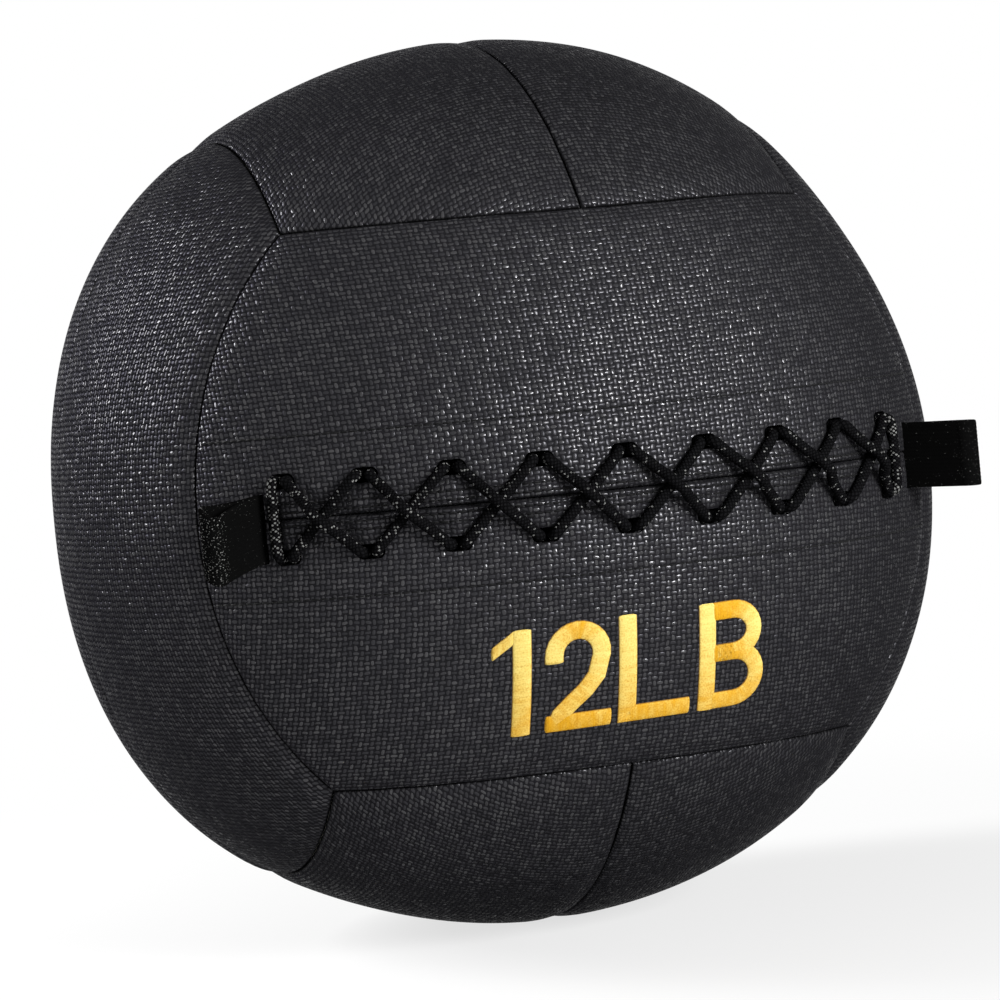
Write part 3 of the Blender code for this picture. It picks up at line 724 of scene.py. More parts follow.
# %% Sewing the cover
PAIRS = (
    ("front_upper", "front_lower", (0, -1, 0), (0, 0, 1), (1, 0, 0)),
    ("back_upper", "back_lower", (0, 1, 0), (0, 0, 1), (-1, 0, 0)),
    ("top_right", "top_left", (0, 0, 1), (1, 0, 0), (0, 1, 0)),
    ("bottom_right", "bottom_left", (0, 0, -1), (1, 0, 0), (0, -1, 0)),
    ("left_back", "left_front", (-1, 0, 0), (0, 1, 0), (0, 0, -1)),
    ("right_back", "right_front", (1, 0, 0), (0, 1, 0), (0, 0, 1)),
)
seeds = {}
for *pair, normal, across, along in PAIRS:
    for node, side in zip(pair, (1, -1)):
        seeds[node] = len(seeds) + 1
        front, shallow_middle = node.startswith("front"), node.startswith("left")
        direction, distances = panel_grid(normal, across, along, side, front)
        height = panel_heights(direction, distances, front, shallow_middle, seeds[node])
        points = on_ball(direction, height)
        points[..., 2] = np.maximum(points[..., 2], FLOOR)
        piece = add_piece("cover_" + node, sheet_mesh(node, points), cover_cloth, nodes=[node])
        thicken(piece, CLOTH)
        if front:
            holes = hole_cutter(side)
            cut(piece, holes, *slots)
        apply_modifiers(piece)
        lay_weave(piece.data, along, across, seeds[node])
        mark_seam_shade(piece.data, normal, across, side, front or shallow_middle)
        if front:
            bpy.data.objects.remove(holes)

# %% [markdown]
# The lace is one braided cord. It runs under the crossings to the right, over them back to the left, and
# stands as an upright bar at each end. The CAD part gives its route point by point, as a place on the
# front and a height. A smooth curve through the points takes away their corners.

# %% The lace's route
LACE_RADIUS, LACE_STEP = 2.1 * MM, 5.0 * MM  # the step lifts one run of the lace over another
OUTER_LAY, INNER_LAY = 2.4 * MM, -7.8 * MM  # heights of the lace outside and behind the facings
INNER_DEEP = INNER_LAY - LACE_STEP
HOLE_TOP, INNER_RIM = 0.3 * MM, 0.7 * MM
RIM_REACH, RIM_LEVEL, LANDING = 1.2 * MM, 2.0 * MM, 3.8 * MM  # its bend over a rim, and where it lands
CREST_SHARES = (  # places along a run and its lift there, where it crosses over another
    (0.31, 0.45), (0.42, 0.97), (0.5, 1.0), (0.58, 0.97), (0.69, 0.45)
)
FACING_TOP, FACING_BOTTOM, UNDER_FACING = -3.1 * MM, -4.1 * MM, 1.1 * MM
KNOT_RADIUS, KNOT_HEIGHT, KNOT_FLATNESS = 4.6 * MM, 25.5 * MM, 0.8
KNOT_LEVEL = FACING_BOTTOM - UNDER_FACING - KNOT_RADIUS * KNOT_FLATNESS
TAIL_SHARE = 0.55  # how far along a tail it has sunk to its knot
LACE_RINGS, KNOT_RINGS, TIE_RINGS = 0.8 * MM, 0.6 * MM, 0.5 * MM  # from one ring of a tube to the next
PATH_STEPS = 12  # of a smooth curve, from each given point to the next


def between(start, end, share):
    return start[0] + (end[0] - start[0]) * share, start[1] + (end[1] - start[1]) * share


def toward(start, end, length):
    """The place this far from one pass of the lace towards another: an angle and a length across."""
    far = math.hypot((end[0] - start[0]) * BALL_RADIUS, end[1] - start[1])
    return between(start, end, length / far)


def upper(column, hand):
    return COLUMNS[column] + hand * PASS_SHIFT / BALL_RADIUS, HOLE_HEIGHT


def lower(column, hand):
    return upper(column, hand)[0], -HOLE_HEIGHT


def over_rim(start, end):
    bend = (RIM_REACH, RIM_LEVEL), (LANDING, OUTER_LAY)
    return [(start, HOLE_TOP)] + [(toward(start, end, far), height) for far, height in bend]


def under_rim(start, end, level):
    if level == INNER_LAY:
        bend = (INNER_RIM, (FACING_BOTTOM + 2 * level) / 3), (LANDING, level)
    else:
        bend = (
            (INNER_RIM / 2, (FACING_BOTTOM + level) / 2),
            (RIM_REACH * 2, level + LACE_RADIUS / 2),
            (LANDING * 3 / 2, level),
        )
    return [(start, FACING_BOTTOM)] + [(toward(start, end, far), height) for far, height in bend]


def outer_run(start, end, lifted=False):
    shares = CREST_SHARES if lifted else ((0.5, 0.0),)
    crest = [(between(start, end, share), OUTER_LAY + LACE_STEP * lift) for share, lift in shares]
    return over_rim(start, end) + crest + over_rim(end, start)[::-1]


def inner_run(start, end, level):
    middle = [(between(start, end, 0.5), level)]
    return under_rim(start, end, level) + middle + under_rim(end, start, level)[::-1]


def tail(start):
    """The hidden end of the lace, from a hole to its stopper knot."""
    far = KNOT_HEIGHT - HOLE_HEIGHT - KNOT_RADIUS - CLEAR
    knot = (start[0], start[1] + math.copysign(far, start[1]))
    return [
        (start, FACING_BOTTOM),
        (toward(start, knot, INNER_RIM), (FACING_BOTTOM + 2 * KNOT_LEVEL) / 3),
        (toward(start, knot, far * TAIL_SHARE), KNOT_LEVEL),
        (knot, KNOT_LEVEL),
    ]


def lace_route():
    last = HOLE_COLUMNS - 1
    route = tail(lower(0, 1))[::-1]
    for column in range(last):
        route += outer_run(lower(column, 1), upper(column + 1, -1))
        route += inner_run(upper(column + 1, -1), lower(column + 1, 1), INNER_LAY)
    route += outer_run(lower(last, 1), upper(last, 1))
    for column in range(last, 0, -1):
        route += inner_run(upper(column, 1), lower(column, -1), INNER_DEEP)
        route += outer_run(lower(column, -1), upper(column - 1, 1), lifted=True)
    route += inner_run(upper(0, 1), lower(0, -1), INNER_DEEP)
    route += outer_run(lower(0, -1), upper(0, -1))
    route += tail(upper(0, -1))
    return np.array([at_front(angle, across, height) for (angle, across), height in route])


def lengths_along(points):
    """How far along a path each of its points lies."""
    return np.concatenate(([0], np.cumsum(np.linalg.norm(np.diff(points, axis=0), axis=1))))


def at_lengths(points, wanted):
    """Where a path is at these lengths along it."""
    lengths = lengths_along(points)
    return np.stack([np.interp(wanted, lengths, values) for values in points.T], -1)


def smooth_path(points, step):
    """Points this far apart along a smooth curve through the given ones, and their lengths along it."""
    ends = np.concatenate((2 * points[:1] - points[1:2], points, 2 * points[-1:] - points[-2:-1]))
    gaps = np.linalg.norm(np.diff(ends, axis=0), axis=1) ** 0.5
    t = np.linspace(0, 1, PATH_STEPS, endpoint=False)[:, None]
    fine = []
    for i in range(1, len(ends) - 2):
        a, b, c = gaps[i - 1:i + 2]
        p0, p1, p2, p3 = ends[i - 1:i + 3]
        m1 = (p2 - p1) + b * ((p1 - p0) / a - (p2 - p0) / (a + b))
        m2 = (p2 - p1) + b * ((p3 - p2) / c - (p3 - p1) / (b + c))
        rise = 3 * t**2 - 2 * t**3
        fine.append((1 - rise) * p1 + rise * p2 + (t**3 - 2 * t**2 + t) * m1 + (t**3 - t**2) * m2)
    fine = np.concatenate((*fine, ends[-2:-1]))
    length = lengths_along(fine)[-1]
    wanted = np.linspace(0, length, round(length / step) + 1)
    return at_lengths(fine, wanted), wanted


lace_path, lace_places = smooth_path(lace_route(), LACE_RINGS)
print("lace", round(float(lace_places[-1]), 3), "m long,", len(lace_path), "rings")

# %% [markdown]
# A braid is strands that wind round the cord both ways, each going over and under the others. Modelling
# six loose strands each way for a metre and a half would be heavy. A tube whose skin rises and falls in
# the braid's diamonds looks the same at this distance, and keeps its shape from every side. The tube's
# rings are carried along the path without twisting, each turned by the least that its bend asks for.

# %% The lace
BRAID_STRANDS, BRAID_LAY = 6, 9.0 * MM  # strands each way, and the cord's length in one turn of a strand
UNDER_SHARE, BRAID_MIDDLE = 0.75, 0.6  # how high a strand lies where it goes under, and on average
BRAID_FIBRE, BRAID_CREST_LIGHT = 3400.0, 4.0  # how fine the fibres are, and how much lighter each crest is painted, as painted light
FLECK_SMOOTH = 0.3
LACE_FLECKS, LEFT_PAINTED_GLINTS, BAR_PAINTED_GLINTS = 0.12, 0.3, 0.58  # flecks on the whole lace, and painted glints added at its left and on its end bars
LEFT_END, BAR_EDGE = 0.7, 0.05  # radians to where the left has most painted glints, columns to where a bar is


def carried_frames(path):
    """Two unit vectors square to the path at each point, turning no more than the path does."""
    tangents = unit(np.gradient(path, axis=0))
    side = np.cross(tangents[0], (0.0, 0.0, 1.0))
    sides = []
    for tangent in tangents:
        side = unit(side - tangent * (side @ tangent))
        sides.append(side)
    sides = np.array(sides)
    return sides, np.cross(tangents, sides)


def braid_height(turn, length):
    """The braid's relief from 0 to 1, a low dome on each of its diamonds."""
    one, two = (np.sin(BRAID_STRANDS * math.pi * (turn / math.tau + climb * length / BRAID_LAY))
                for climb in (1, -1))
    return np.abs(one * two) * np.where(one * two > 0, 1.0, UNDER_SHARE)


def cord_mesh(name, path, places, radius, corners, relief, fleck_glint_share=0.15):
    sides, ups = carried_frames(path)
    turns, lengths = np.meshgrid(np.linspace(0, math.tau, corners, endpoint=False), places)
    swell = radius + relief * (braid_height(turns, lengths) - BRAID_MIDDLE)
    cosine, sine = np.cos(turns), np.sin(turns)
    spokes = sides[:, None] * (swell * cosine)[..., None] + ups[:, None] * (swell * sine)[..., None]
    mesh = new_mesh(name, path[:, None] + spokes, tube_faces(numbered(*turns.shape)))
    put(mesh, "braid", np.stack((lengths, radius * cosine, radius * sine), -1))
    put(mesh, "worn", np.broadcast_to(np.reshape(fleck_glint_share, (-1, 1)), turns.shape))
    return mesh


def shaded(colour, share):
    return (*(c * share for c in colour[:3]), 1.0)


def cord_finish(name, dark, pale, roughness):
    """Braided cord: dark strands with crests painted lighter, and bright flecks where they come to the top; a
    point's share of flecks also carries painted glints.
    """
    finish = Finish(name)
    place, worn = finish.attribute("braid"), finish.attribute("worn")
    length, cosine, sine = finish.parts_of(place)
    turn = sine.math("ARCTAN2", cosine) * (BRAID_STRANDS / math.tau)
    climb = length * (BRAID_STRANDS / BRAID_LAY)
    one, two = turn + climb, turn - climb
    chance = finish.dice(one.math("FLOOR"), two.math("FLOOR"))
    humps = [(strand.math("FRACT") - 0.5).math("ABSOLUTE") * -2.0 + 1.0 for strand in (one, two)]
    top = humps[0] * humps[1]
    crest = top.step(0.05, 0.4)
    fibres = finish.noise(finish.scaled(place, (0.6, 1.0, 1.0)), BRAID_FIBRE)
    # painted glints: the larger a point's fleck share, the more bright flecks show there
    rare = 0.95 - worn * 0.45
    fleck = (chance - rare).step(0.0, 0.04) * top.step(0.12, 0.5) * (fibres + worn * 0.1).step(0.44, 0.58)
    # painted light and shade: strands lighter on their crests and darkest in the grooves between them
    strands = finish.mix(crest * fibres, dark, shaded(dark, BRAID_CREST_LIGHT))
    return finish.set(
        base_color=finish.mix(fleck, strands, pale),
        roughness=roughness - fleck * FLECK_SMOOTH,
        specular_ior_level=0.0,
        normal=finish.bump(fibres + crest, 0.25 * MM),
    )


lace_finish = cord_finish("lace_braid", (0.0022, 0.0022, 0.0024, 1), (0.17, 0.17, 0.165, 1), 0.8)
# painted glints: more bright flecks at the lace's left and on its end bars, where the left lamp's light falls
columns_off = np.abs(np.arctan2(lace_path[:, 0], -lace_path[:, 1]) - HOLE_SHIFT) / HOLE_PITCH
end_bars = np.clip((columns_off - (HOLE_COLUMNS - 1) / 2) / BAR_EDGE, 0, 1)
left_share = np.clip(-lace_path[:, 0] / BALL_RADIUS / math.sin(LEFT_END), 0, 1)
fleck_glint_share = LACE_FLECKS + LEFT_PAINTED_GLINTS * left_share + BAR_PAINTED_GLINTS * end_bars
lace_mesh = cord_mesh("lace", lace_path, lace_places, LACE_RADIUS, 18, relief=0.3 * MM, fleck_glint_share=fleck_glint_share)
add_piece("lace_cord", lace_mesh, lace_finish, nodes=["lace"])
print("lace", len(lace_mesh.vertices), "points")

# %% [markdown]
# At each hidden end the lace is held by a stopper knot, an overhand turn pulled tight into a lump. A
# short length of the same cord, wound round itself in a trefoil, is what such a knot looks like.

# %% Stopper knots
TREFOIL = 1.6  # how far its three leaves swing out
KNOT_WIDE, KNOT_HIGH, KNOT_DEEP = 1.05 * MM, 0.95 * MM, 1.25 * MM
KNOT_CORD = 1.25 * MM


def placed(points, matrix):
    matrix = np.array(matrix)
    return points @ matrix[:3, :3].T + matrix[:3, 3]


def knot_path():
    turn = np.linspace(0, math.tau, 120)
    x = (np.sin(turn) + TREFOIL * np.sin(2 * turn)) * KNOT_WIDE
    y = (np.cos(turn) - TREFOIL * np.cos(2 * turn)) * KNOT_HIGH
    return np.stack((x, y, -np.sin(3 * turn) * KNOT_DEEP), -1)


for node, (angle, across) in (("lace_knot_upper", upper(0, -1)), ("lace_knot_lower", lower(0, 1))):
    lie = front_frame(angle, math.copysign(KNOT_HEIGHT, across)) @ Matrix.Translation((0, 0, KNOT_LEVEL))
    path, places = smooth_path(placed(knot_path(), lie), KNOT_RINGS)
    mesh = cord_mesh(node, path, places, KNOT_CORD, 12, relief=0.15 * MM)
    add_piece(node + "_cord", mesh, lace_finish, nodes=[node])
    print(node, len(mesh.vertices), "points")

# %% [markdown]
# Each facing strip behind the slit is held by one long line of lockstitch, 30 mm from the slit, and its
# edge by two shorter ones. From a distance they are thin dark lines, and close to each is a row of short
# threads that dive into the cloth. Each stitch is a little arched capsule, and one mesh holds them all.

# %% Lines of stitching
THREAD, STITCH, LINE_MARGIN = 0.34 * MM, 3.4 * MM, 3 * MM
STITCH_SHAPE = (  # shares of the way along a stitch, and heights as shares of the thread
    (0.03, -0.7), (0.1, -0.1), (0.3, 0.8), (0.5, 1.0), (0.7, 0.8), (0.9, -0.1), (0.97, -0.7)
)
THREAD_BLACK = (0.006, 0.006, 0.0065, 1.0)
TWIST, TWIST_SHADE = 2600.0, 0.45  # how fine a thread's twist is, and how dark between its turns


def capsule(bm, path, radius, corners=6):
    """Adds a closed tube along this path, drawn to a point at both ends."""
    rings = []
    for centre, side, up in list(zip(path, *carried_frames(path)))[1:-1]:
        rings.append([bm.verts.new(centre + radius * (side * math.cos(a) + up * math.sin(a)))
                      for a in np.linspace(0, math.tau, corners, endpoint=False)])
    for one, two in zip(rings, rings[1:]):
        skin_between(bm, one, two)
    for ring, tip in ((rings[0][::-1], path[0]), (rings[-1], path[-1])):
        point = bm.verts.new(tip)
        for i in range(corners):
            bm.faces.new((ring[i], ring[(i + 1) % corners], point))


def thread_finish(name, colour):
    finish = Finish(name)
    twist = finish.noise(finish.own_place(), TWIST, 1.0)
    return finish.set(
        base_color=finish.mix(twist.step(0.35, 0.65), shaded(colour, TWIST_SHADE), colour),
        roughness=0.7,
        specular_ior_level=0.1,
        normal=finish.bump(twist, 0.08 * MM),
    )


def on_cloth(direction, height, seed):
    """Points this far over the finished cloth of a laced panel, which is known by its seed."""
    return on_ball(direction, front_relief(direction) + swells(direction, seed) - settled(direction) + height)


def stitched_lines():
    """Each line's distance from the slit, and the places along it where its stitches meet."""
    for level in (STITCH_LINE, *SLIT_LINES):
        lift = level / BALL_RADIUS
        reach, shift = LACED_REACH, HOLE_SHIFT
        if level == STITCH_LINE:
            reach, shift = math.acos(SEAM_SHARE / math.cos(lift)) - LINE_MARGIN / BALL_RADIUS, 0.0
        stitches = round(2 * reach * math.cos(lift) * BALL_RADIUS / STITCH)
        yield level, np.linspace(-reach, reach, stitches + 1) + shift


black_thread = thread_finish("black_thread", THREAD_BLACK)
shares, heights = np.array(STITCH_SHAPE).T
for node, side in (("upper", 1), ("lower", -1)):
    bm, count = bmesh.new(), 0
    for level, places in stitched_lines():
        angles = places[:-1, None] + np.diff(places)[:, None] * shares
        stitches = on_cloth(front_direction(angles, side * level), THREAD * heights, seeds["front_" + node])
        for stitch in stitches:
            capsule(bm, stitch, THREAD)
        count += len(stitches)
    mesh = outward(mesh_from(bm, "topstitch_" + node))
    add_piece("topstitch_" + node, mesh, black_thread)
    print("topstitch", node, count, "stitches")

# %% [markdown] The loops at both ends of the lacing are 25 mm webbing, folded round and sewn in at the
# root. The loop is built from its outline: an outer line and the line of its hollow, point for point,
# carried across the width. Near both edges the two lines close in on each other, as a woven edge is
# rounded.

# %% Webbing loops
TAB_LENGTH, TAB_TIP_RADIUS = 27.0 * MM, 4.6 * MM
TAB_STITCHED = 6.0 * MM  # from the root to where the hollow starts
ROOT_DEPTH, ROOT_DRAW = 3.0 * MM, 0.1 * MM  # how far the root goes in, and how far it narrows
BOW_STEPS, SIDE_STEPS, WIDTH_STEPS = 22, 24, 31
SKEW, SKEW_CURVE = 2.6 * MM, 1.5  # how far a skewed tip shears, and how that grows towards the tip
WEB_EDGE = np.array((0.0, 0.08, 0.2, 0.4, 0.7)) * MM
EDGE_PINCH = 0.8  # how much of an edge is rounded off
RIB, RIB_PITCH = 0.05 * MM, 1.6 * MM
EDGE_GLINT_START, EDGE_PAINTED_GLINTS = 0.86, 0.55  # where painted glints start towards an edge, and their share at the edge
CHEVRON_PITCH, CHEVRON_BEND = 1.1 * MM, 2.0
# painted glints: the colour of the bright flecks, which lie thickest on the fold and near the edges
WEB_BLACK, WEB_GLINT = (0.0022, 0.0022, 0.0022, 1.0), (0.19, 0.19, 0.185, 1.0)


def arc(middle, radius, reach):
    turns = np.linspace(-reach, reach, BOW_STEPS + 1)
    return np.stack((middle + radius * np.cos(turns), radius * np.sin(turns)), -1)


def straight(start, end):
    shares = np.linspace(0, 1, SIDE_STEPS + 1)[1:-1, None]
    return start * (1 - shares) + end * shares


def closed_line(bow, foot_place, foot_half):
    """A line round the bow, straight to the foot, across it and straight back."""
    foot = np.array([(foot_place, y) for y in (foot_half, 0.0, -foot_half)])
    return np.concatenate((bow, straight(bow[-1], foot[0]), foot, straight(foot[-1], bow[0])))


def loop_lines():
    """The loop's outer line and the line of its hollow, with as many points in each."""
    tip, inside = TAB_LENGTH - TAB_TIP_RADIUS, TAB_TIP_RADIUS - WEB
    slope = math.asin((TAB_TIP_RADIUS - TAB_ROOT_RADIUS) / tip)
    quarter = math.pi / 2 + slope
    end = inside / math.cos(slope) - (tip - TAB_STITCHED) * math.tan(slope)
    outer = closed_line(arc(tip, TAB_TIP_RADIUS, quarter), -ROOT_DEPTH, TAB_ROOT_RADIUS - ROOT_DRAW)
    return outer, closed_line(arc(tip, inside, quarter), TAB_STITCHED, end)


def tab_matrix(tab):
    origin = Vector(at_front(tab["angle"], tab["middle"], TAB_ROOT_RADIUS + CLEAR))
    turn = Matrix.Rotation(tab["angle"] + tab["lean"] - math.pi / 2, 4, "Z")
    sag = Matrix.Identity(4)
    sag[2][0] = -math.tan(tab["droop"])
    return Matrix.Translation(origin) @ turn @ sag


def lay_webbing(mesh, around, across):
    """Gives each point its place along the webbing and across it."""
    s, z = np.broadcast_arrays(around, across)
    put(mesh, "weave", np.stack((s, z, 0 * s), -1))


def web_mesh(name, tab):
    outer, hollow = loop_lines()
    half, edge = WEB_WIDTH / 2, WEB_EDGE
    middle = np.linspace(-half + edge[-1], half - edge[-1], WIDTH_STEPS + 1)[1:-1]
    stations = np.concatenate((-half + edge, middle, (half - edge)[::-1]))[:, None, None]
    near = np.clip(np.abs(stations) - (half - edge[-1]), 0, None) / edge[-1]
    pinch = EDGE_PINCH * edge[-1] * (1 - np.sqrt(np.clip(1 - near**2, 0, None)))
    drawn = unit(hollow - outer) * (pinch - RIB * np.cos(math.tau * stations / RIB_PITCH))
    sides = np.stack((outer + drawn, hollow - drawn), 1)
    along = np.clip(outer[:, 0] / TAB_LENGTH, 0, 1)
    skew = -tab["skew"] * SKEW * outer[:, 1] / TAB_TIP_RADIUS * along**SKEW_CURVE
    across = np.broadcast_to(stations, sides.shape[:-1])
    points = np.concatenate((sides, (across + skew)[..., None]), -1)
    index = np.arange(across.size).reshape(across.shape)
    skins = index[:, 0], index[:, 1, ::-1], index[0, :, ::-1], index[-1]
    faces = np.concatenate([quads_over(skin, closed=True) for skin in skins]).tolist()
    mesh = outward(new_mesh(name, placed(points, tab_matrix(tab)), faces))
    lay_webbing(mesh, lengths_along(outer), across)
    # painted glints: bright flecks gathered at the loop's fold and near its edges
    fold = np.clip((outer[:, 0] - TAB_LENGTH) / TAB_TIP_RADIUS + 2, 0, 1)
    near_edge = np.clip((np.abs(across) / half - EDGE_GLINT_START) / (1 - EDGE_GLINT_START), 0, None)
    put(mesh, "fold", tab["worn"] * np.maximum(fold, EDGE_PAINTED_GLINTS * near_edge))
    return mesh


def webbing_finish():
    """Black webbing: ribs along its length, crossed by fine threads, with stray bright fibres, and bright
    flecks painted thicker on the fold and near the edges as glints.
    """
    finish = Finish("black_webbing")
    place = finish.attribute("weave")
    s, z, _ = finish.parts_of(place)
    ribs = (z * (math.tau / RIB_PITCH)).math("COSINE")
    chevron = (s * (math.tau / CHEVRON_PITCH) + ribs * CHEVRON_BEND).math("SINE") * 0.5 + 0.5
    fuzz = finish.noise(place, 2200.0)
    # painted glints: flecks come more often where the fold and edges were marked
    flecks = finish.noise(place, 1500.0, 1.0) + finish.attribute("fold") * 0.12
    return finish.set(
        base_color=finish.mix(flecks.step(0.71, 0.79) * fuzz.step(0.42, 0.6), WEB_BLACK, WEB_GLINT),
        roughness=0.92,
        specular_ior_level=0.0,
        normal=finish.bump(ribs * 0.35 + chevron * 0.45 + fuzz * 0.5, 0.16 * MM),
    )


web_finish = webbing_finish()
for node, tab in (("left_tab", LEFT_TAB), ("right_tab", RIGHT_TAB)):
    piece = add_piece(node + "_web", web_mesh(node, tab), web_finish, body=None, nodes=[node])
    matrix = tab_matrix(tab)
    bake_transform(piece)
    keep_sharp(piece.data, SHARP_LOOP)
    print(piece.name, len(piece.data.vertices), "points")

# %% [markdown]
# Behind the slit each edge of the cover is doubled by a facing, a strip that holds the lace's holes, and a
# wide flap below both keeps the stuffing away from the cord. All three are bands along the laced front,
# so one function makes their grids. The same pegs that cut the cover cut the facings.

# %% Behind the slit
FACING_REACH, FACING_WIDTH, FACING = math.radians(51), 30.0 * MM, 1.0 * MM
FLAP_REACH, FLAP_WIDTH, FLAP, FLAP_TOP = math.radians(50), 29.0 * MM, 1.4 * MM, -15.2 * MM
BAND_STEP, BAND_WAVE, BAND_WAVE_SIZE, BAND_SEED = 2.4 * MM, 0.12 * MM, 14 * MM, 9
FACING_SEED, FLAP_SEED = 20, 30
SLIT_DIP, SLIT_DIP_REACH = 0.5 * MM, 9.0 * MM


def front_band(name, reach, low, high, level, dip=0.0, wave=BAND_WAVE):
    """A band along the laced front, this far each way and between two lengths across the slit."""
    angles = np.linspace(-reach, reach, round(2 * reach * BALL_RADIUS / BAND_STEP) + 1)
    places = np.linspace(low, high, round(abs(high - low) / BAND_STEP) + 1)
    across, angle = np.meshgrid(places, angles, indexing="ij")
    direction = front_direction(angle, across)
    waves = wave * ripple(direction * BALL_RADIUS, BAND_WAVE_SIZE, BAND_SEED)
    return sheet_mesh(name, on_ball(direction, level - dip * fall(np.abs(across), SLIT_DIP_REACH) + waves))


def finish_band(piece, thickness, seed, *cutters):
    thicken(piece, thickness)
    cut(piece, *cutters)
    apply_modifiers(piece)
    lay_weave(piece.data, (1, 0, 0), (0, 0, 1), seed)
    print(piece.name, len(piece.data.vertices), "points")


for node, side in (("upper_facing", 1), ("lower_facing", -1)):
    mesh = front_band(node, FACING_REACH, side * SEAM_GAP / 2, side * FACING_WIDTH, FACING_TOP, SLIT_DIP)
    piece = add_piece(node + "_cloth", mesh, facing_cloth, nodes=[node])
    holes = hole_cutter(side)
    finish_band(piece, FACING, FACING_SEED + side, holes, *slots)
    bpy.data.objects.remove(holes)

mesh = front_band("flap", FLAP_REACH, -FLAP_WIDTH, FLAP_WIDTH, FLAP_TOP)
piece = add_piece("slit_flap_cloth", mesh, facing_cloth, nodes=["slit_flap"])
finish_band(piece, FLAP, FLAP_SEED)

# %% [markdown]
# The sewn-in ends of a webbing loop go down through the slot and turn outboard behind the facing. Their
# outline is a bent strap of two plies. Its corners are rounded by short arcs, and a notch at the end
# parts the plies. Like the loop, it is carried across the width and drawn in at both edges.

# %% Sewn-in ends of the loops
TAB_FOOT, PLY_NOTCH, EDGE_DRAW = 13.0 * MM, 0.5 * MM, 0.22 * MM
ANCHOR_HEAD, ANCHOR_TOP = -1.5 * MM, FACING_BOTTOM - SLIT_DIP - UNDER_FACING
ANCHOR_ROUNDS = np.array((1.6, 0.4, 0.2, 0.4, 0.6, 0.4, 0.4)) * MM
ANCHOR_STEPS = 25


def rounded(corners, radii, count=5):
    """A closed outline whose corners are turned by short arcs."""
    corners = np.array(corners)
    t = np.linspace(0, 1, count)[:, None]
    arcs = []
    for corner, before, after, radius in zip(corners, np.roll(corners, 1, 0), np.roll(corners, -1, 0), radii):
        start, end = (corner + unit(other - corner) * radius for other in (before, after))
        arcs.append((1 - t) ** 2 * start + 2 * t * (1 - t) * corner + t**2 * end)
    return np.concatenate(arcs)


def anchor_mesh(name, tab):
    half, low = TAB_ROOT_RADIUS, ANCHOR_TOP - 2 * TAB_ROOT_RADIUS
    outline = rounded((
        (-half, low), (TAB_FOOT, low), (TAB_FOOT - PLY_NOTCH, (ANCHOR_TOP + low) / 2), (TAB_FOOT, ANCHOR_TOP),
        (half, ANCHOR_TOP), (half, ANCHOR_HEAD), (-half, ANCHOR_HEAD),
    ), ANCHOR_ROUNDS)
    steps = np.roll(outline, -1, 0) - np.roll(outline, 1, 0)
    inward = unit(np.stack((-steps[:, 1], steps[:, 0]), -1))
    stations = np.linspace(-WEB_WIDTH / 2, WEB_WIDTH / 2, ANCHOR_STEPS + 1)
    drawn = [stations[0] + EDGE_DRAW], [stations[-1] - EDGE_DRAW]
    stations = np.concatenate((stations[:1], drawn[0], stations[1:-1], drawn[1], stations[-1:]))
    draw = np.zeros((len(stations), 1, 1))
    draw[[0, -1]] = EDGE_DRAW
    rings = outline + inward * draw
    outboard = math.copysign(1.0, tab["angle"]) * rings[..., 0]
    across = np.broadcast_to(stations[:, None], outboard.shape)
    points = at_front(tab["angle"] + outboard / BALL_RADIUS, tab["middle"] + across, rings[..., 1])
    mesh = outward(new_mesh(name, points, tube_faces(numbered(*across.shape))))
    lay_webbing(mesh, lengths_along(outline), across)
    return mesh


for node, tab in (("left_tab_anchor", LEFT_TAB), ("right_tab_anchor", RIGHT_TAB)):
    piece = add_piece(node + "_web", anchor_mesh(node, tab), web_finish, nodes=[node])
    keep_sharp(piece.data, SHARP_EDGE)
    print(piece.name, len(piece.data.vertices), "points")

# %% [markdown]
# Inside is a canvas lining, packed fibre in two halves, and a tied bag of sand in the middle. Nobody sees
# them while the ball is whole. Round forms carry their threads as turns about the upright axis, worked out
# in the shader so that no seam shows.

# %% Looks of the filling
LINING_RADIUS, CORE_RADIUS = 170 * MM, 72 * MM


def canvas_finish(name, radius, dark, pale, thread):
    """Plain canvas on a round form: threads run around it and up it, over and under by turns."""
    finish = Finish(name)
    place = finish.own_place()
    x, y, z = finish.parts_of(place)
    flat = (x * x + y * y).math("SQRT")
    pairs = round(math.tau * radius / thread / 2)
    warp, weft = ((rise.math("ARCTAN2", run) * pairs).math("SINE") for rise, run in ((y, x), (z, flat)))
    over = (warp * weft).step(-0.15, 0.15)
    ridge = warp.math("ABSOLUTE") * over + weft.math("ABSOLUTE") * (1.0 - over)
    fuzz, patches = finish.noise(place, 900.0), finish.noise(place, 28.0, 3.0)
    return finish.set(
        base_color=finish.mix((ridge * 0.5 + fuzz * 0.4 + patches * 0.4).step(0.25, 0.95), dark, pale),
        roughness=0.95 - fuzz * 0.1,
        specular_ior_level=0.15,
        normal=finish.bump(ridge + fuzz * 0.4, 0.2 * MM),
    )


def loose_finish(name, dark, pale, size, depth, stretch=(1.0, 1.0, 1.0)):
    """Loose stuff, fibre or grain, from two sizes of noise."""
    finish = Finish(name)
    place = finish.own_place()
    strands = finish.noise(finish.scaled(place, stretch), 1 / size, 6.0, 0.65)
    clumps = finish.noise(place, 0.12 / size)
    return finish.set(
        base_color=finish.mix((strands * 0.7 + clumps * 0.4).step(0.35, 0.75), dark, pale),
        roughness=0.97 - strands * 0.08,
        specular_ior_level=0.1,
        normal=finish.bump(strands + clumps * 0.6, depth),
    )


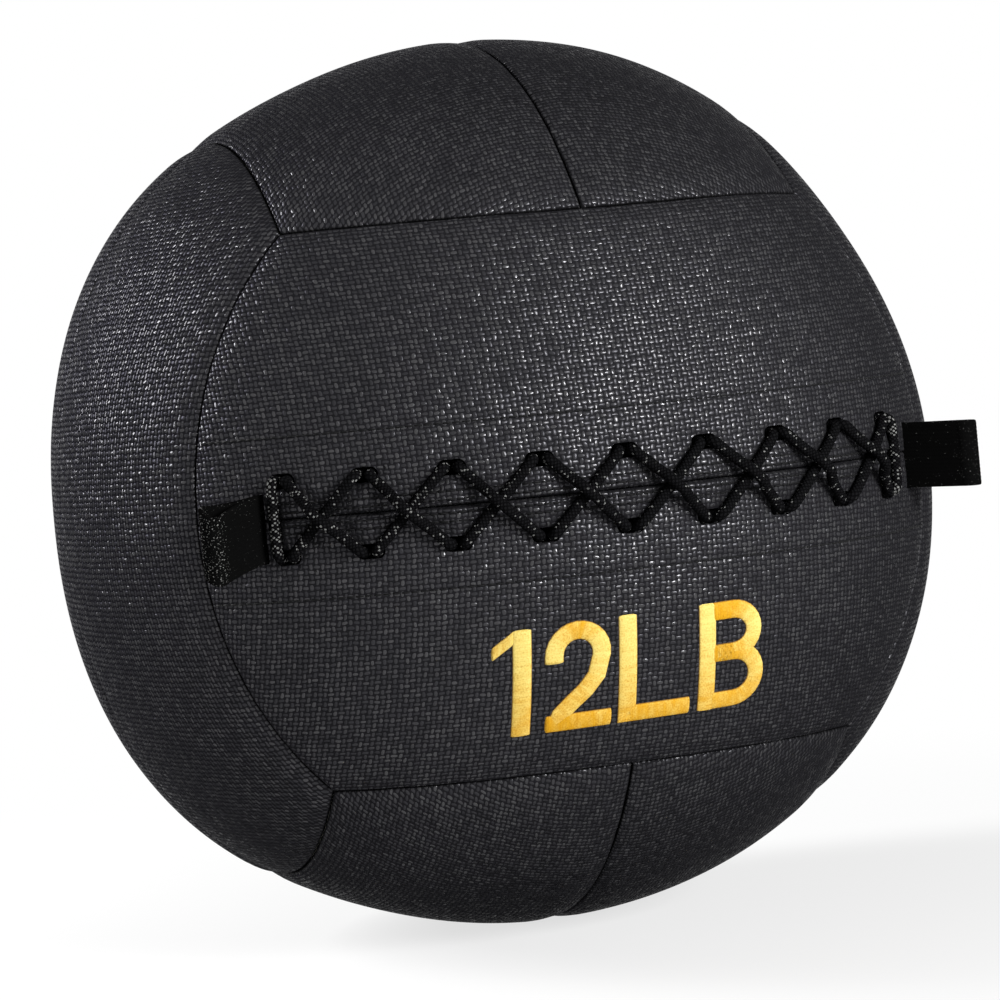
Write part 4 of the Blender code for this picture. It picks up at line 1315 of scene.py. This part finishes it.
lining_canvas = canvas_finish(
    "lining_canvas", LINING_RADIUS, (0.22, 0.2, 0.165, 1), (0.5, 0.48, 0.42, 1), thread=0.9 * MM
)
core_canvas = canvas_finish(
    "core_canvas", CORE_RADIUS, (0.15, 0.135, 0.1, 1), (0.38, 0.35, 0.29, 1), thread=0.8 * MM
)
fibre = loose_finish(
    "packed_fibre", (0.34, 0.34, 0.325, 1), (0.64, 0.64, 0.62, 1),
    size=1.6 * MM, depth=0.9 * MM, stretch=(1.0, 1.0, 0.35),
)
sand = loose_finish(
    "loose_sand", (0.2, 0.14, 0.07, 1), (0.62, 0.52, 0.36, 1), size=0.7 * MM, depth=0.35 * MM
)
print("materials", ", ".join(sorted(m.name for m in (lining_canvas, core_canvas, fibre, sand))))

# %% [markdown] The lining and both halves of the padding are round skins at their own depths below the
# cover, and all of them sink and wave as the stuffing does.

# %% Lining and padding
LINING_TOP, LINING, PADDING_TOP = -4.9 * MM, 1.0 * MM, -6.4 * MM
TROUGH_WIDTH, TROUGH_REACH, TROUGH_FLOOR = 34.0 * MM, math.radians(52.5), -17.7 * MM
STUFFING_WAVE, STUFFING_SIZE, STUFFING_SEED = 0.3 * MM, 26.0 * MM, 11
NECK_RADIUS, NECK_HEIGHT, TIE_RADIUS = 14.0 * MM, 26.0 * MM, 2.0 * MM
POCKET_RADIUS = NECK_RADIUS + 2 * (TIE_RADIUS + CLEAR) + CLEAR
POCKET_ENDS = CORE_RADIUS - NECK_RADIUS / 2, CORE_RADIUS + NECK_HEIGHT + CLEAR


def inner_skin(name, level):
    """A closed round skin at this level below the ball's form, sunk and waved as the stuffing is."""
    bm = bmesh.new()
    bmesh.ops.create_uvsphere(bm, u_segments=96, v_segments=60, radius=1.0)
    direction = unit(np.array([v.co for v in bm.verts]))
    wave = STUFFING_WAVE * (ripple(direction * BALL_RADIUS, STUFFING_SIZE, STUFFING_SEED) - 1)
    for vertex, place in zip(bm.verts, on_ball(direction, level + wave - settled(direction))):
        vertex.co = place
    return mesh_from(bm, name)


def block_cutter(low, high):
    """A plain box between two corners."""
    bm = bmesh.new()
    bmesh.ops.create_cube(bm, size=1.0)
    for vertex in bm.verts:
        vertex.co = [a + (share + 0.5) * (b - a) for a, b, share in zip(low, high, vertex.co)]
    return add_cutter("half", bm)


def core_hollow():
    bm = bmesh.new()
    bmesh.ops.create_uvsphere(bm, u_segments=48, v_segments=32, radius=CORE_RADIUS + 2 * CLEAR)
    return add_cutter("core_hollow", bm)


def neck_hollow():
    bm = bmesh.new()
    bmesh.ops.create_cone(
        bm, cap_ends=True, segments=48, radius1=POCKET_RADIUS, radius2=POCKET_RADIUS,
        depth=POCKET_ENDS[1] - POCKET_ENDS[0],
    )
    bmesh.ops.translate(bm, vec=(0, 0, sum(POCKET_ENDS) / 2), verts=bm.verts)
    return add_cutter("neck_hollow", bm)


trough_mesh = front_band("trough", TROUGH_REACH, -TROUGH_WIDTH, TROUGH_WIDTH, CUT_DEPTH, wave=0.0)
trough = hidden("trough", trough_mesh)
thicken(trough, CUT_DEPTH - TROUGH_FLOOR)
hollows = [core_hollow(), neck_hollow()]

skin = inner_skin("lining", LINING_TOP)
lining = add_piece("lining_canvas", skin, lining_canvas, nodes=["lining_bag"])
thicken(lining, LINING)
cut(lining, trough)
apply_modifiers(lining)
print("lining", len(lining.data.vertices), "points")

far = BALL_RADIUS + CUT_DEPTH
for node, side in (("padding_front", 1), ("padding_back", -1)):
    ends = sorted((-side * CLEAR / 2, side * far))
    half = block_cutter((-far, ends[0], -far), (far, ends[1], far))
    piece = add_piece(node + "_fibre", inner_skin(node, PADDING_TOP), fibre, nodes=[node])
    cut(piece, *((trough,) if side > 0 else ()), *hollows, half)
    apply_modifiers(piece)
    bpy.data.objects.remove(half)
    print(node, len(piece.data.vertices), "points")
for cutter in (trough, *hollows):
    bpy.data.objects.remove(cutter)

# %% [markdown]
# The bag in the middle is a profile turned about the upright line. Its cloth gathers into pleats at the
# neck, where two turns of cord tie it, and the pleats fade out down its round side.

# %% The weighted core
CORE_CLOTH, PLEATS, PLEAT_DEPTH = 1.2 * MM, 24, 1.0 * MM
PLEAT_START, PLEAT_RISE = 0.55, 0.4  # in core radii up from its middle
MOUTH, NECK_FLARE = CORE_RADIUS + NECK_HEIGHT, 0.7 * MM
HEAP_DIP = 1.0 * MM
TIE_CORD, TIE_TURNS, TIE_PITCH = 0.95 * MM, 2, 1.1  # the pitch is in widths of the cord


def turned_mesh(name, profile, columns=96, pleats=0, depth=0.0):
    """Turns radii and heights about the upright line; both ends of the profile lie on it."""
    turn = np.linspace(0, math.tau, columns, endpoint=False)
    radius, height = np.array(profile[1:-1]).T[..., None]
    near = np.clip((height / CORE_RADIUS - PLEAT_START) / PLEAT_RISE, 0, 1)
    radius = radius + depth * near * (np.abs(np.cos(turn * pleats / 2)) - 1)
    rings = np.stack((radius * np.cos(turn), radius * np.sin(turn), height + 0 * radius), -1)
    start, end = ([(0.0, 0.0, profile[k][1])] for k in (0, -1))
    points = np.concatenate((start, rings.reshape(-1, 3), end))
    index = numbered(len(rings), columns, first=1)
    faces = quads_over(index[::-1], closed=True).tolist()
    for one, two in zip(range(columns), np.roll(range(columns), -1)):
        faces.append((int(index[0, one]), int(index[0, two]), 0))
        faces.append((int(index[-1, two]), int(index[-1, one]), len(points) - 1))
    return outward(new_mesh(name, points, faces))


def core_side(radius, rings=40):
    """The round side of the core from its neck to its lowest point, as radii and heights."""
    start = math.asin(NECK_RADIUS / CORE_RADIUS)
    return [(radius * math.sin(t), radius * math.cos(t)) for t in np.linspace(start, math.pi, rings)]


neck = [
    (NECK_RADIUS + TIE_RADIUS, MOUTH), (NECK_RADIUS + NECK_FLARE, MOUTH - NECK_HEIGHT * 0.17),
    (NECK_RADIUS, MOUTH - NECK_HEIGHT / 3), (NECK_RADIUS, MOUTH - NECK_HEIGHT * 0.8),
]
outer = neck + core_side(CORE_RADIUS)[:-1]
inner = [(r - CORE_CLOTH, h) for r, h in outer[:5]] + core_side(CORE_RADIUS - CORE_CLOTH)[1:-1]
profile = [(0.0, -CORE_RADIUS)] + outer[::-1] + inner + [(0.0, -CORE_RADIUS + CORE_CLOTH)]
bag = turned_mesh("core_bag", profile, 144, PLEATS, PLEAT_DEPTH)
add_piece("core_bag_canvas", bag, core_canvas, nodes=["core_bag"])

heap = core_side(CORE_RADIUS - CORE_CLOTH - 4 * CLEAR)
rim_radius, rim_height = heap[0]
heap_top = [(rim_radius * s, rim_height - HEAP_DIP * (1 - s)) for s in (0.0, 0.3, 0.6)]
add_piece("core_fill_sand", turned_mesh("core_fill", heap_top + heap), sand, nodes=["core_fill"])

turn = np.linspace(0, TIE_TURNS * math.tau, 200)
tie_radius, tie_middle = NECK_RADIUS + TIE_CORD + CLEAR, CORE_RADIUS + NECK_HEIGHT / 3
climb = (turn / math.tau - TIE_TURNS / 2) * TIE_PITCH * 2 * TIE_CORD
tie_path = np.stack((tie_radius * np.cos(turn), tie_radius * np.sin(turn), tie_middle + climb), -1)
tie_path, tie_places = smooth_path(tie_path, TIE_RINGS)
tie = cord_mesh("core_tie", tie_path, tie_places, TIE_CORD, 12, relief=0.12 * MM)
tie_finish = cord_finish("tie_braid", (0.14, 0.135, 0.115, 1), (0.62, 0.6, 0.54, 1), 0.85)
add_piece("core_tie_cord", tie, tie_finish, nodes=["core_tie"])
print("core bag", len(bag.vertices), "points, tie", len(tie.vertices), "points")

# %% [markdown]
# The weight of the ball is stitched on the lower panel in gold satin stitch: bands of thread laid side by
# side over a padded stroke. The figures are drawn here as plain strokes of one width. A domed band is
# swept along each stroke, with mitred corners, and follows the cloth. The thread's sheen is painted into
# its colour, pale where a stroke stands upright and deeper where it lies level or nears the foot, and
# the edges of each band are painted dark as the shadow round it.

# %% The weight mark
MARK_BAND, FLAG_BAND = 7.1 * MM, 5.2 * MM
MARK_HEIGHT, MARK_SUNK, MARK_FOOT = 0.85 * MM, 0.1 * MM, -0.7 * MM
MARK_TURN, MARK_MIDDLE = math.radians(1.1), (0.0, -68.0)  # the middle is in millimetres over the cloth
MARK_STEP, END_ROUND, END_DROP = 0.8, 0.8, 0.9  # millimetres, twice, and a share of the height
SATIN_THREAD, STROKE_APART = 0.3 * MM, 0.05  # the second sets strokes apart, so their threads differ
EASE_REACH = 5  # steps each way over which the painted sheen eases round a bend
FOOT_START, FOOT_REACH, FOOT_DEEP, LEVEL_PALE = 12.0, 28.0, 0.6, 0.3  # where and how far the painted sheen deepens towards the foot, and how pale level strokes grow along their length
# painted sheen: the gold of upright strokes, and the deeper gold of level ones
GOLD_SHEEN_PALE, GOLD_SHEEN_DEEP = (0.67, 0.535, 0.155, 1), (0.53, 0.27, 0.007, 1)
# painted shadow: the dark colour at each band's edges
GOLD_EDGE_SHADOW, GOLD_SHADE = (0.16, 0.07, 0.012, 1), (0.7, 0.58, 0.36)


def bowl(x, y, wide, high, start=90, end=-90, count=14):
    turns = np.radians(np.linspace(start, end, count + 1))
    return [(x + wide * math.cos(t), y + high * math.sin(t)) for t in turns]


def mark_strokes():
    """Each stroke of the figures 12 and the letters for pounds: its centre line, its band, its cut."""
    top, middle, foot = 18.4, 2.1, -17.2
    low = foot - MARK_BAND / MM / 2
    flag = [(-56.0, 13.2), (-47.9, 18.8)]
    one = [(-44.9, 21.5), (-44.9, low)]
    hook = [(-33.3, 6.6)] + bowl(-24.5, 9.6, 8.8, 9.1, 180, -22)
    hook += [(-17.6, 0.6), (-21.6, -4.8), (-26.8, -9.6), (-30.6, -13.6), (-32.6, -18.4)]
    base = [(-36.3, foot), (-11.6, foot)]
    ell = [(-5.8, 22.0), (-5.8, foot), (19.0, foot)]
    stem = [(25.6, 21.9), (25.6, low)]
    bowls = [
        [(27.6, head)] + bowl(x, (head + heel) / 2, wide, (head - heel) / 2) + [(27.6, heel)]
        for x, wide, head, heel in ((36.4, 9.1, top, middle), (37.0, 9.8, middle, foot))
    ]
    return [(flag, FLAG_BAND, True)] + [(s, MARK_BAND, False) for s in (one, hook, base, ell, stem, *bowls)]


def resample(points, step):
    """A line's own corners and even steps between them, and the length along it of each."""
    points = np.array(points, float)
    corners = lengths_along(points)
    wanted = np.unique(np.concatenate((np.arange(0, corners[-1], step), corners)))
    wanted = wanted[np.concatenate(([True], np.diff(wanted) > step * 0.2))]
    return at_lengths(points, wanted), wanted


def mark_surface(x, y, height):
    """A point over the cloth for a place of the mark, in millimetres from the mark's middle."""
    cosine, sine = math.cos(MARK_TURN), math.sin(MARK_TURN)
    turned = x * cosine - y * sine + MARK_MIDDLE[0], x * sine + y * cosine + MARK_MIDDLE[1]
    across, up = (np.sin(t * MM / BALL_RADIUS) for t in turned)
    direction = np.stack((across, -np.sqrt(1 - across**2 - up**2), up), -1)
    return on_cloth(direction, height, seeds["front_lower"])


def painted_stroke_sheen(path, places, upright):
    """The painted sheen along a stroke: pale where upright, deeper near the foot, eased along."""
    width = 2 * EASE_REACH + 1
    eased = np.convolve(np.pad(upright, EASE_REACH, mode="edge"), np.full(width, 1 / width), "valid")
    near_foot = np.clip((FOOT_START - path[:, 1]) / FOOT_REACH, 0, 1)
    return eased * (1 - FOOT_DEEP * near_foot) + (1 - eased) * LEVEL_PALE * places / places[-1]


def squared(steps):
    return np.stack((-steps[:, 1], steps[:, 0]), -1)


def band_mesh(name, strokes):
    """Domed bands along the strokes: each a closed solid with mitred corners and a hidden underside."""
    points, faces, satin, sheens, first = [], [], [], [], 0
    across = np.sin(np.linspace(-math.pi / 2, math.pi / 2, 11))
    dome = MARK_HEIGHT * np.sqrt(np.clip(1 - np.abs(across) ** 3, 0, 1)) - MARK_SUNK
    across = np.append(across, (0.96, -0.96))
    for number, (stroke, band, cut_upright) in enumerate(strokes):
        path, places = resample(stroke, MARK_STEP)
        steps = unit(np.diff(path, axis=0))
        before, after = np.concatenate((steps[:1], steps)), np.concatenate((steps, steps[-1:]))
        square = unit(squared(before + after))
        stretch = 1 / np.clip((square * squared(before)).sum(-1), 0.5, 1)
        sheen = painted_stroke_sheen(path, places, np.abs(square[:, 0]))
        if cut_upright:
            square, stretch = np.tile((0.0, 1.0), (len(path), 1)), np.ones(len(path))
        end = np.clip(1 - np.minimum(places, places[-1] - places) / END_ROUND, 0, 1)
        low = 1 - np.sqrt(1 - end**2)
        flat = path[:, None] + square[:, None] * (across * band / MM / 2 * stretch[:, None])[..., None]
        domes = dome - low[:, None] * MARK_HEIGHT * END_DROP
        levels = np.concatenate((domes, np.full((len(path), 2), MARK_FOOT)), 1)
        grid = numbered(*levels.shape, first)
        points.append(mark_surface(flat[..., 0], flat[..., 1], levels).reshape(-1, 3))
        faces += tube_faces(grid)
        along, beside = np.broadcast_arrays(places[:, None] * MM, across * MARK_BAND / 2)
        satin.append(np.stack((along, beside, 0 * along + number * STROKE_APART), -1).reshape(-1, 3))
        sheens.append(np.repeat(sheen, len(across)))
        first += grid.size
    mesh = outward(new_mesh(name, np.concatenate(points), faces))
    put(mesh, "satin", np.concatenate(satin))
    put(mesh, "upright", np.concatenate(sheens))
    return mesh


def satin_finish(name):
    """Gold satin stitch with a painted sheen: pale where its threads stand upright, deeper where they lie
    level, and a painted shadow at its edges.
    """
    finish = Finish(name)
    place = finish.attribute("satin")
    s, t, stroke = finish.parts_of(place)
    threads = (s * (math.pi / SATIN_THREAD)).math("SINE").math("ABSOLUTE")
    chance = finish.dice((s / SATIN_THREAD).math("FLOOR"), stroke * (5 / STROKE_APART))
    patches = finish.noise(finish.scaled(place, (1.0, 0.35, 1.0)), 420.0)
    grain = finish.noise(place, 1500.0, 3.0)
    # painted sheen, mixed with random patches and grain: pale on upright strokes, deeper on level ones and
    # towards the foot
    lie = (finish.attribute("upright") * 0.75 + patches * 0.8 + grain * 0.5 - 0.58).step(0.0, 0.95)
    gold = finish.mix(lie, GOLD_SHEEN_DEEP, GOLD_SHEEN_PALE)
    shade = (chance * 0.25 + grain * 1.1 + threads * 0.3).step(0.45, 1.0)
    # painted shadow: the band's outer edges turn dark, as the outline of shadow round raised thread
    edge = (t.math("ABSOLUTE") / (MARK_BAND / 2)).step(0.86, 1.0)
    return finish.set(
        base_color=finish.mix(edge, finish.mix(shade, finish.scaled(gold, GOLD_SHADE), gold), GOLD_EDGE_SHADOW),
        roughness=0.55 + chance * 0.12,
        specular_ior_level=0.12,
        normal=finish.bump(threads * (0.7 + chance * 0.3) + grain * 0.5, 0.1 * MM),
    )


gold_satin = satin_finish("gold_satin")
mark = add_piece("weight_mark", band_mesh("weight_mark", mark_strokes()), gold_satin)
keep_sharp(mark.data, SHARP_EDGE)
print("weight mark", len(mark.data.vertices), "points")

# %% [markdown]
# A plain studio: a pale floor, a white surround that only the camera and reflections see, and soft
# lamps. The large lamp at the right front gives the broad sheen above the lacing, the one behind on the
# left the sheen down the left side, and the world fills the rest evenly.

# %% Studio
LAMPS = (  # name, direction from the ball, distance, width, height, power
    ("key", (0.36, -0.89, 0.24), 1.6, 0.6, 0.5, 43.0),
    ("left_rim", (-0.72, 0.57, 0.4), 1.5, 0.45, 0.7, 54.0),
)
FILL_LIGHT = 0.15
FLOOR_GREY, FLOOR_SIZE, FLOOR_GAP = (0.6, 0.6, 0.6, 1.0), 8.0, 0.2 * MM
FLOOR_WHITE, WHITE_FROM = 0.72, (0.15, 0.6)  # how white the floor is under the ball, and where that ends


def seen(nodes):
    """1 for what the camera sees, straight or mirrored or through glass, and 0 for light that spreads."""
    rays = nodes.node("LightPath").socket.node.outputs
    kinds = [Value(nodes, rays["Is " + kind + " Ray"]) for kind in ("Camera", "Glossy", "Transmission")]
    return kinds[0].math("MAXIMUM", kinds[1]).math("MAXIMUM", kinds[2])


def blended(nodes, share, first, second, output):
    """Ends a tree of nodes in a mix of two shaders."""
    both = nodes.node("MixShader", places={0: share, 1: first, 2: second})
    nodes.feed(output.inputs[0], both)


for name, direction, distance, wide, high, power in LAMPS:
    data = bpy.data.lights.new(name, "AREA")
    data.shape, data.size, data.size_y, data.energy = "RECTANGLE", wide, high, power
    place = Vector(direction).normalized() * distance
    turn = place.to_track_quat("Z", "Y").to_matrix().to_4x4()
    add_object(name, data).matrix_world = Matrix.Translation(place) @ turn

world = bpy.data.worlds.new("studio")
bpy.context.scene.world = world
world.use_nodes = True
world.node_tree.nodes.clear()
sky = Nodes(world.node_tree)
fill, white = (sky.node("Background", places={"Color": WHITE, "Strength": s}) for s in (FILL_LIGHT, 1.0))
blended(sky, seen(sky), fill, white, sky.tree.nodes.new("ShaderNodeOutputWorld"))

floor_finish = Finish("pale_floor")
floor_finish.set(base_color=FLOOR_GREY, roughness=0.9)
place = floor_finish.own_place()
away = floor_finish.node("VectorMath", {"operation": "LENGTH"}, {0: place}, output="Value")
shown = seen(floor_finish) * (FLOOR_WHITE + away.step(*WHITE_FROM) * (1 - FLOOR_WHITE))
glow = floor_finish.node("Emission", places={"Color": WHITE, "Strength": 1.0})
lit = Value(floor_finish, floor_finish.shader.outputs[0])
blended(floor_finish, shown, lit, glow, floor_finish.tree.nodes["Material Output"])

bm = bmesh.new()
bmesh.ops.create_circle(bm, cap_ends=True, segments=96, radius=FLOOR_SIZE)
floor = add_object("floor", mesh_from(bm, "floor"))
floor.data.materials.append(floor_finish.material)
floor.location = (0, 0, FLOOR - FLOOR_GAP)
bpy.context.scene.view_settings.view_transform = "Standard"
print("studio", len(LAMPS), "lamps and a floor", 2 * FLOOR_SIZE, "m across")

# %% Finish
for cutter in slots:
    bpy.data.objects.remove(cutter)
